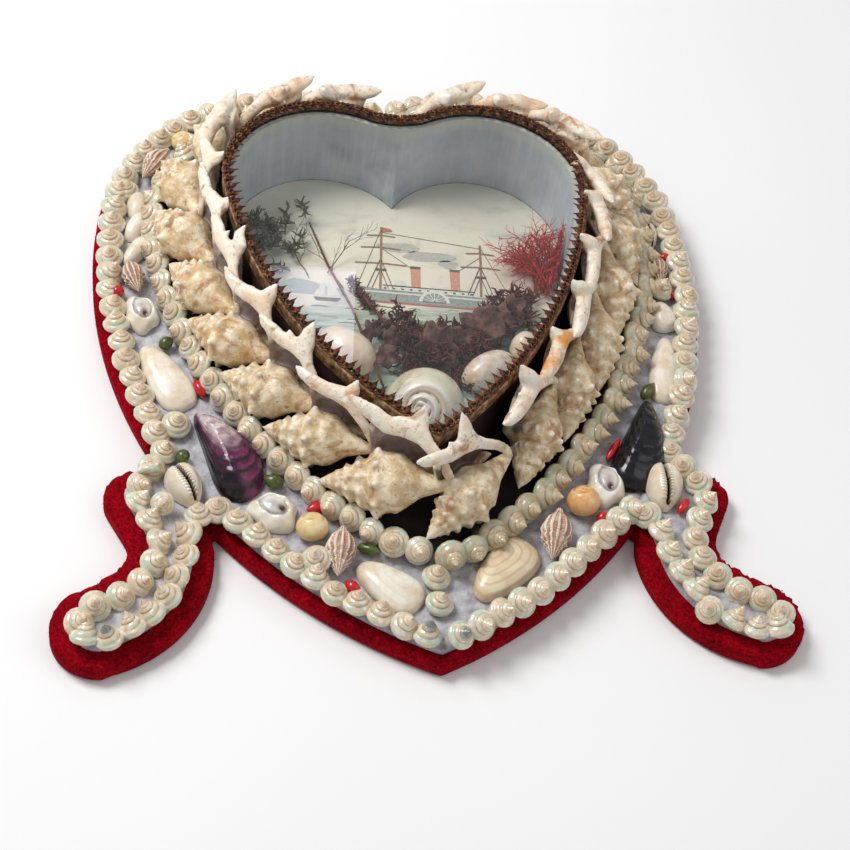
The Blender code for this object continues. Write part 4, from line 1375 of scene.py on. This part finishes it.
# ---------------------------------------------------------------- the print and the keepsakes under the glass
INKS = {
    "hull": ((0.24, 0.29, 0.25), (0.38, 0.44, 0.38)), "dark": ((0.1, 0.085, 0.07), (0.2, 0.17, 0.14)),
    "mast": ((0.26, 0.15, 0.09), (0.38, 0.26, 0.17)), "salmon": ((0.58, 0.27, 0.18), (0.7, 0.38, 0.26)),
    "pale": ((0.68, 0.66, 0.58), (0.8, 0.77, 0.68)), "sea": ((0.26, 0.42, 0.3), (0.42, 0.55, 0.42)),
    "rust": ((0.42, 0.16, 0.11), (0.52, 0.24, 0.17)), "smoke": ((0.42, 0.42, 0.36), (0.58, 0.56, 0.47)),
    "land": ((0.4, 0.45, 0.42), (0.5, 0.54, 0.48)),
}
SHIP_PLACE = (12.5, 31.0)
SHIP_TURN = -5.0
INK_LAYER = 0.07
PICTURE_HEIGHT = 110.0


def ink_look(name, dark, light):
    look = Look(name, Roughness=0.85)
    grain = look.noise(1.4, 3, 0.65)
    return look.done(look.ramp(grain, (0.35, dark), (0.65, light)), normal=look.bump(grain, 0.1, 0.1))


def paper_look():
    look = Look("ship_print", Roughness=0.85)
    height = look.plus(look.times(look.axis("Y"), 1000.0), look.times(look.noise(9, 3), 5.0))
    height = look.maths("DIVIDE", height, PICTURE_HEIGHT)
    sky = look.ramp(height, (0.2, (0.86, 0.78, 0.65)), (0.5, (0.84, 0.78, 0.63)), (0.85, (0.7, 0.69, 0.58)))
    cloud = look.noise(30, 5, 0.6, stretch=(0.5, 1.5, 1))
    colour = look.mix(sky, (0.4, 0.43, 0.38), look.ramp(cloud, (0.5, 0.0), (0.66, 0.8)))
    colour = look.mix(colour, (0.9, 0.85, 0.74), look.ramp(cloud, (0.3, 0.6), (0.42, 0.0)))
    ripple = look.noise(5, 4, 0.65, stretch=(0.3, 2.2, 1))
    water = look.ramp(ripple, (0.35, (0.24, 0.36, 0.26)), (0.6, (0.52, 0.58, 0.46)), (0.75, (0.7, 0.7, 0.6)))
    colour = look.mix(colour, water, look.ramp(height, (0.235, 1.0), (0.262, 0.0)))
    stain = look.noise(12, 4, 0.6)
    colour = look.mix(colour, (0.5, 0.38, 0.24), look.ramp(stain, (0.56, 0.0), (0.75, 0.4)))
    return look.done(colour, normal=look.bump(look.noise(1.2, 3), 0.12, 0.15))


def flat_shape(outline, level, thick=0.06):
    """A thin plate over any outline, whichever way round it runs."""
    outline = np.asarray(outline, float)
    x, y = outline.T
    area = np.sum(x * np.roll(y, -1) - np.roll(x, -1) * y)
    points = np.vstack([at_level(outline, z) for z in (level, level + thick)])
    return points, closed_grid(2, len(outline), flip=area <= 0)


def stroke(points, width, level):
    """A drawn line as a thin flat strip."""
    points = np.asarray(points, float)
    ahead = unit_rows(np.gradient(points, axis=0))
    across = np.stack([-ahead[:, 1], ahead[:, 0]], axis=1) * width / 2
    return flat_shape(np.vstack([points - across, (points + across)[::-1]]), level)


def blob(x, y, length, height, seed, count=28):
    rng = np.random.default_rng(seed)
    turn = round_angles(count)
    rough = 1 + sum(0.16 / k * np.sin(k * turn + rng.uniform(0, 6.28)) for k in range(2, 7))
    return np.stack([x + np.cos(turn) * rough * length / 2, y + np.sin(turn) * rough * height / 2], axis=1)


# The print's shapes, in millimetres from the ship's middle: ink, layer and outline.
HEADLAND = (
    ("land", 0, ((-66, -2), (-64, 3), (-57, 6.5), (-50, 5.2), (-44, 3.2), (-38, 2.2), (-34, -2))),
    ("pale", 1, ((-56.6, 5.5), (-56.2, 11.5), (-54.8, 11.5), (-54.4, 5.5))),
)
HULL = (
    ("hull", 1, ((-31, 4.8), (-28, -3.6), (27, -3.6), (31, 3.8), (33, 5.0), (20, 3.4), (-20, 3.6))),
    ("pale", 2, ((-30.2, 2.6), (-29.9, 1.8), (29.6, 1.4), (30.2, 2.2))),
    ("rust", 2, ((-28.3, -2.7), (-28, -3.7), (27, -3.7), (27.6, -2.7))),
    ("pale", 1, ((-22, 3.4), (-22, 5.8), (19, 5.6), (19, 3.3))),
    ("dark", 2, ((-20.5, 5.8), (-20.5, 6.4), (18, 6.2), (18, 5.6))),
)
FLAGS = (
    ("rust", 3, ((-21.2, 39), (-21.2, 36.2), (-16.6, 36.8), (-17.4, 38.2))),
    ("rust", 3, ((32.8, 9.5), (32.8, 7.4), (36.5, 7.7), (36, 9))),
)
SLOOP = (
    ("dark", 1, ((-49, -3.2), (-47.5, -5.2), (-39, -5.2), (-37, -3))),
    ("pale", 2, ((-43.4, -2.4), (-43, 8), (-37.6, -1.8))),
    ("pale", 2, ((-44.2, -2.4), (-44, 6.6), (-49, -2))),
)
SMOKE = ((-1, 24, 22, 6, 3), (-14, 28, 20, 5, 5), (7, 20.5, 8, 5, 8))
STAYS = (
    ((-21.3, 38), (-31, 5)), ((-21.3, 36), (20.4, 31)), ((20.6, 32), (32.5, 5)), ((-21.3, 27), (-9, 17)),
    ((20.6, 26), (11, 17)),
)
MASTS = ((-21.5, 39, (34, 27, 18)), (20.5, 33, (28, 20)))


class Drawing:
    """The print's ink, laid on the paper in thin layers."""

    def __init__(self):
        self.clay = Clay()
        self.turn = spin(math.radians(SHIP_TURN), (0, 0, 1))

    def draw(self, ink, points, faces):
        self.clay.add(points @ self.turn.T + [*SHIP_PLACE, 0], faces, list(INKS).index(ink))

    def line(self, ink, points, width, layer):
        self.draw(ink, *stroke(points, width, CARD_TOP + INK_LAYER * layer))

    def shape(self, ink, layer, outline):
        self.draw(ink, *flat_shape(outline, CARD_TOP + INK_LAYER * layer))

    def shapes(self, table):
        for row in table:
            self.shape(*row)


def draw_paddle_wheel(page):
    turns = np.linspace(0, math.pi, 17)
    for ink, layer, reach in (("pale", 3, 6.4), ("hull", 4, 6.4 * 0.78)):
        page.shape(ink, layer, [(math.cos(a) * reach + 1, math.sin(a) * reach - 1.5) for a in turns])
    for a in np.linspace(0.3, math.pi - 0.3, 7):
        page.line("pale", [(1, -1.2), (1 + math.cos(a) * 5, -1.5 + math.sin(a) * 5)], 0.35, 5)


def draw_masts(page):
    for x, top, yards in MASTS:
        page.line("mast", [(x, 4), (x + 0.2, 20), (x + 0.1, top)], 0.95, 3)
        for i, y in enumerate(yards):
            reach = 6.0 + 2.4 * i
            page.line("mast", [(x - reach, y - 0.3), (x, y + 0.3), (x + reach, y - 0.3)], 0.6, 4)
        page.line("dark", [(x - 2.2, 14.6), (x + 2.4, 14.6)], 1.1, 4)
        for side in (-1, 1):
            for foot, head, width in ((5.4, 20, 0.34), (3.4, 14, 0.3)):
                page.line("dark", [(x + side * foot, 4.2), (x + side * 0.3, head)], width, 3)
    for stay in STAYS:
        page.line("dark", stay, 0.24, 2)


def draw_waves(page):
    rng = np.random.default_rng(6)
    for _ in range(46):
        x, y = rng.uniform(-50, 46), rng.uniform(-17, -4.5)
        size = rng.uniform(2, 8)
        wave = [(x + t * size, y + math.sin(t * 3.1) * 0.5) for t in (0, 0.33, 0.66, 1)]
        page.line(("pale", "sea", "dark")[int(rng.integers(3))], wave, rng.uniform(0.3, 0.6), 1)


def make_print():
    """A generic harbour scene: a paddle steamer with two funnels, a sloop and a headland, on a cream sky."""
    card = Clay().add(*plate_body(heart_outline(CASE, -CASE_WALL - 0.3), CASE_FLOOR, CARD_TOP, 0.1))
    card.piece("ship_print", paper_look(), "picture_paper", "picture_card")
    page = Drawing()
    page.shapes(HEADLAND)
    for cloud in SMOKE:
        page.shape("smoke", 0, blob(*cloud))
    page.shapes(HULL)
    for k in range(11):
        x = -20 + k * 3.6
        page.shape("dark", 2, [(x, 4.1), (x, 5.0), (x + 1.1, 5.0), (x + 1.1, 4.1)])
    draw_paddle_wheel(page)
    for x in (-8.5, 8.0):
        page.shape("salmon", 2, [(x, 6.2), (x - 0.5, 16.5), (x + 3.6, 16.5), (x + 3.8, 6.2)])
        page.shape("dark", 3, [(x - 0.6, 16.4), (x - 0.6, 17.8), (x + 3.7, 17.8), (x + 3.7, 16.4)])
    page.shape("pale", 2, [(-15.5, 5.8), (-15.5, 9.5), (-11, 9.5), (-11, 5.8)])
    draw_masts(page)
    page.shapes(FLAGS)
    page.line("mast", [(32.7, 5), (32.7, 10)], 0.35, 3)
    page.shapes(SLOOP)
    draw_waves(page)
    inks = [ink_look(f"ink_{name}", *shades) for name, shades in INKS.items()]
    page.clay.piece("print_drawing", inks, "picture_paper", smooth=False)


def weed_look(name, dark, light):
    look = Look(name, Roughness=0.85)
    colour = look.ramp(look.noise(2.5, 4, 0.7), (0.32, dark), (0.7, light))
    return look.done(colour, normal=look.bump(look.noise(0.6, 3), 0.5, 0.2))


def frond(clay, rng, root, way, length, radius, depth, sides):
    """A branching frond: curved tapering twigs that fork."""
    points = [np.array(root, float)]
    way = unit(np.array(way, float))
    for _ in range(4):
        way = unit(way + rng.normal(size=3) * [0.22, 0.22, 0.12])
        points.append(points[-1] + way * length / 4)
    clay.add(*tube(points, np.linspace(radius, radius * 0.45, 5), sides))
    if depth:
        for at in (2, 3, 4):
            swing = spin(rng.choice([-1, 1]) * rng.uniform(0.35, 0.8), (0, 0, 1))
            branch = swing @ way + [0, 0, rng.normal() * 0.15]
            frond(clay, rng, points[at], branch, length * 0.62, radius * 0.62, depth - 1, sides)


def tuft(clay, rng, x, y, size, level):
    """A small curled tuft of dried weed."""
    for _ in range(8):
        turn, rise = rng.uniform(0, 6.28), rng.uniform(0.1, 1.2)
        way = np.array([math.cos(turn) * math.cos(rise), math.sin(turn) * math.cos(rise), math.sin(rise)])
        points = [np.array([x, y, level])]
        for _ in range(4):
            way = unit(way + rng.normal(size=3) * 0.45)
            points.append(points[-1] + way * size / 4)
        clay.add(*tube(points, np.array((0.5, 0.75, 0.6, 0.45, 0.15)) * size * 0.15, 3))


WEED_BANK = ((-4, 14), (2, 4), (9, 0), (17, 1), (25, 5), (33, 10), (40, 18), (47, 28))
WEED_FRONT = ((-3, -8), (8, -14), (19, -14), (31, -6))
WEED_DIAGONAL = ((-21, 38), (-14, 25), (-6, 12))
WEED_LEFT = ((-58, 34), (-52, 21), (-45, 9))


def scatter(rng, line, count, spread, size, rise):
    """Spots for tufts along a line: x, y, size and level."""
    line = smooth_line(line)
    spots = []
    for _ in range(count):
        x, y = line[rng.integers(len(line))] + rng.normal(size=2) * spread
        spots.append((x, y, rng.uniform(*size), CARD_TOP + rng.uniform(0.5, rise)))
    return spots


def kept_inside(points, inset=CASE_WALL + 1.5):
    """Points drawn inwards until they lie within the case, above its print."""
    edge = heart_outline(CASE, -inset)
    points = np.array(points, float)
    points[:, 2] = np.clip(points[:, 2], CARD_TOP + 0.2, WALL_TOP - 1)
    for _ in range(14):
        out = distance_to(points[:, :2], edge) > 0
        middle = np.column_stack([np.sign(points[out, 0]) * 26, np.full(out.sum(), 46.0)])
        points[out, :2] = middle + (points[out, :2] - middle) * 0.96
    return points


def snail_look():
    look = Look("moon_snail", Roughness=0.24, Coat_Weight=0.3, Coat_Roughness=0.12)
    cloud = look.noise(13, 3, 0.6)
    body = look.ramp(cloud, (0.35, (0.6, 0.5, 0.34)), (0.5, (0.74, 0.68, 0.5)), (0.66, (0.62, 0.62, 0.44)))
    growth = (
        (0.0, (0.3, 0.16, 0.09)), (0.05, (0.95, 0.92, 0.86)), (0.14, (0.86, 0.78, 0.64)),
        (0.42, (0.9, 0.85, 0.76)), (0.62, (0.62, 0.46, 0.37)), (0.8, (0.8, 0.7, 0.56)),
        (0.97, (0.4, 0.25, 0.16)),
    )
    whorls = look.ramp(look.mark("growth"), *growth)
    colour = look.mix(body, whorls, look.mark("spire"))
    streak = look.noise(6, 4, 0.6, stretch=(1, 3, 1))
    colour = look.mix(colour, (0.42, 0.24, 0.14), look.ramp(streak, (0.56, 0.0), (0.7, 0.55)))
    return look.done(colour, normal=look.bump(look.noise(1.2, 3), 0.25, 0.3))


def leaf(rng, size, count=30):
    """A broad ruffled frond, flat in XY."""
    turn = round_angles(count)
    lobes = 0.13 * np.sin(5 * turn + rng.uniform(0, 6))
    edge = size * (0.9 + lobes + 0.09 * np.sin(9 * turn + rng.uniform(0, 6)))
    ruffle = size * 0.22 * np.sin(4 * turn + rng.uniform(0, 6))
    shares = (0.05, 0.3, 0.55, 0.8, 1.0)
    rows = [np.column_stack([edge * f * np.cos(turn), edge * f * np.sin(turn), ruffle * f**2 + side])
            for f, side in [(f, 0.25) for f in shares] + [(f, -0.25) for f in shares[::-1]]]
    return np.vstack(rows), closed_grid(len(rows), count, flip=True)


# X, y, size, and turn in degrees.
LEAVES = (
    (10.4, -0.5, 9.2, 12), (29, 7, 10, -14), (37, 14, 7, -25), (16, -6, 3.6, 20), (-7, 4.5, 5, 30),
    (-10, -5, 5.2, 10), (20, 2.5, 6.5, -8), (-15, 9, 4.5, 30), (44, 21, 6, -35),
)
# Root and turn in degrees of the three sprigs of lichen, then the two twigs and their radii.
SPRIGS = (((-30, 44, 9.5), 78), ((-38, 42, 9.5), 100), ((-24, 36, 9.5), 95))
TWIGS = (
    (((-36, 72, 10), (-30, 45, 13), (-22, 20, 15), (-15, -8, 14), (-12, -20, 13)),
     (0.4, 0.55, 0.6, 0.65, 0.5)),
    (((-21, 39, 11), (-13, 22, 13), (-5, 6, 14)), (0.5, 0.7, 0.7)),
)


def weed_piece(clay, name, look):
    """Dried weed, drawn in until it lies within the case."""
    clay.points = [kept_inside(np.vstack(clay.points))]
    clay.piece(name, look, "case_paper")


def make_seaweed():
    rng = np.random.default_rng(19)
    weed = weed_look("brown_weed", (0.03, 0.007, 0.003), (0.26, 0.075, 0.03))
    case_in = heart_outline(CASE, -CASE_WALL - 4)
    clay = Clay()
    spots = scatter(rng, WEED_BANK, 260, 4.6, (3, 6.5), 8) + scatter(rng, WEED_DIAGONAL, 26, 0.9, (2.5, 4), 4)
    spots += scatter(rng, WEED_LEFT, 60, 1.8, (3, 5.5), 9) + scatter(rng, WEED_FRONT, 90, 3, (2.5, 4.2), 5)
    for spot, fits in zip(spots, inside(np.array([spot[:2] for spot in spots]), case_in)):
        if fits:
            tuft(clay, rng, *spot)
    weed_piece(clay, "brown_seaweed", weed)

    clay = Clay()
    for k in range(30):
        root = (60 + rng.normal() * 1.2, 34 + rng.normal() * 1.5, CARD_TOP + rng.uniform(1, 6))
        turn = math.radians(84 + rng.normal() * 9 + (0 if k % 5 else 26))
        frond(clay, rng, root, (math.cos(turn), math.sin(turn), 0.3), rng.uniform(13, 17), 0.55, 3, 3)
    weed_piece(clay, "red_seaweed", weed_look("red_weed", (0.36, 0.012, 0.014), (0.85, 0.07, 0.06)))

    clay = Clay()
    for _ in range(46):
        x, y = -54 + rng.normal() * 7, 66 + rng.normal() * 9
        if inside(np.array([[x, y]]), case_in)[0]:
            tuft(clay, rng, x, y, rng.uniform(3, 5.5), CARD_TOP + rng.uniform(0.5, 5))
    for root, turn in SPRIGS:
        way = math.radians(turn)
        frond(clay, rng, root, (math.cos(way), math.sin(way), 0.05), 17, 0.3, 2, 4)
    weed_piece(clay, "grey_lichen", weed_look("grey_weed", (0.04, 0.034, 0.016), (0.22, 0.19, 0.11)))

    clay = Clay()
    for points, radii in TWIGS:
        clay.add(*tube(points, radii, 6))
    clay.piece("twigs", weed, "case_paper")

    rng = np.random.default_rng(5)
    clay = Clay()
    for x, y, size, turn in LEAVES:
        points, faces = leaf(rng, size)
        clay.add(laid(points, x, y, turn, CARD_TOP + 3 + size * 0.7, roll=52 + rng.normal() * 8), faces)
    weed_piece(clay, "broad_seaweed", weed_look("broad_weed", (0.07, 0.03, 0.024), (0.25, 0.13, 0.1)))


def add_kept(clay, body, *place, **tilt):
    """A shell laid in the case."""
    points, faces, marks = body
    return clay.add(kept_inside(laid(points, *place, **tilt)), faces, **marks)


def make_kept_shells():
    snail = globe(15.6, 23, 80, 84)[:3]
    clay = add_kept(Clay(), snail, 4.4, -29.5, -24, CARD_TOP + 5.3, roll=43)
    clay.piece("keepsake_snail", snail_look(), "band_shell")
    pale = shell_look("pale_shell", (0.86, 0.74, 0.55), (0.68, 0.5, 0.34), (0.3, 0.17, 0.1), 9, 0.26)
    large = valve(27, 20, 11, taper=0.1, umbo=(0.6, 0.3), ridge=0.1, count=12)
    clay = add_kept(Clay(), large, -26, -1, -42, CARD_TOP + 3, roll=6)
    small = valve(13, 11, 8, umbo=(0.4, 0.4), ridge=0.06, count=9)
    add_kept(clay, small, 46.5, 2, 50, CARD_TOP + 4).piece("keepsake_shells", pale, "band_shell")
    mottled = shell_look("mottled_shell", (0.86, 0.8, 0.72), (0.7, 0.46, 0.28), (0.4, 0.2, 0.1), 5, 0.3)
    body = valve(25, 15, 9, umbo=(0.5, 0.5), ridge=0.08, count=9)
    add_kept(Clay(), body, 31, -10, 32, CARD_TOP + 3).piece("mottled_keepsake", mottled, "band_shell")


# ---------------------------------------------------------------- stage
CAMERA_TARGET = (1.144, -43.318, 20)
CAMERA_AZIMUTH = math.radians(-14.321)
CAMERA_ELEVATION = math.radians(51.204)
CAMERA_ROLL = math.radians(11.454)
CAMERA_DISTANCE = 722.69
CAMERA_LENS = 80.1


def make_camera():
    az, el, roll = CAMERA_AZIMUTH, CAMERA_ELEVATION, CAMERA_ROLL
    back = np.array([math.sin(az) * math.cos(el), -math.cos(az) * math.cos(el), math.sin(el)])
    right = np.array([math.cos(az), math.sin(az), 0])
    up = np.cross(back, right)
    across = math.cos(roll) * right + math.sin(roll) * up
    upward = -math.sin(roll) * right + math.cos(roll) * up
    camera = bpy.data.cameras.new("camera")
    camera.lens = CAMERA_LENS
    camera.sensor_width = 36
    camera.clip_end = 50
    place = (np.array(CAMERA_TARGET) + back * CAMERA_DISTANCE) * MM
    turn = Matrix([across, upward, back]).transposed().to_4x4()
    obj = placed("camera", camera)
    obj.matrix_world = Matrix.Translation(Vector(place)) @ turn
    bpy.context.scene.camera = obj


# Name, place, size and energy of each light, in metres and watts, then its colour.
LIGHTS = (
    ("key", (-0.56, 0.3, 0.92), 0.45, 9.5, (1, 1, 1)),
    ("fill", (0.75, -0.35, 0.7), 0.7, 1.6, (1, 1, 1)),
    ("window", (0.03, 0.83, 1.08), 0.2, 0.5, (0.9, 0.82, 1.0)),
)
LIGHT_TARGET = (0, -0.02, 0.02)
SKY_STRENGTH = 0.38
FLOOR_REACH, FLOOR_CELLS, FLOOR_DROP = 3.0, 12, 0.0003


def add_light(name, place, size, energy, colour):
    light = bpy.data.lights.new(name, "AREA")
    light.size = size
    light.energy = energy
    light.color = colour
    obj = placed(name, light)
    obj.location = place
    obj.rotation_euler = (Vector(LIGHT_TARGET) - Vector(place)).to_track_quat("-Z", "Y").to_euler()


def make_stage():
    mesh = bpy.data.meshes.new("floor")
    steps = range(-FLOOR_CELLS, FLOOR_CELLS + 1)
    size = FLOOR_REACH / FLOOR_CELLS
    grid = [(x * size, y * size, -FLOOR_DROP) for y in steps for x in steps]
    row = len(steps)
    faces = [(j * row + i, j * row + i + 1, (j + 1) * row + i + 1, (j + 1) * row + i)
             for j in range(row - 1) for i in range(row - 1)]
    mesh.from_pydata(grid, [], faces)
    look = Look("floor", Roughness=0.9)
    mesh.materials.append(look.done(look.ramp(look.noise(300, 2), (0.3, 0.9), (0.7, 0.94))))
    floor = placed("floor", mesh)
    world = bpy.data.worlds.new("world")
    world.use_nodes = True
    background = world.node_tree.nodes["Background"]
    background.inputs["Color"].default_value = (1, 1, 1, 1)
    background.inputs["Strength"].default_value = SKY_STRENGTH
    bpy.context.scene.world = world
    for light in LIGHTS:
        add_light(*light)
    bpy.context.scene.view_settings.view_transform = "Standard"
    bpy.context.scene.view_settings.look = "None"


make_board()
make_bed()
nacre = make_rows()
make_pelicans()
make_band_shells()
make_small_things(nacre)
make_case()
make_trim()
make_print()
make_seaweed()
make_kept_shells()
make_camera()
make_stage()
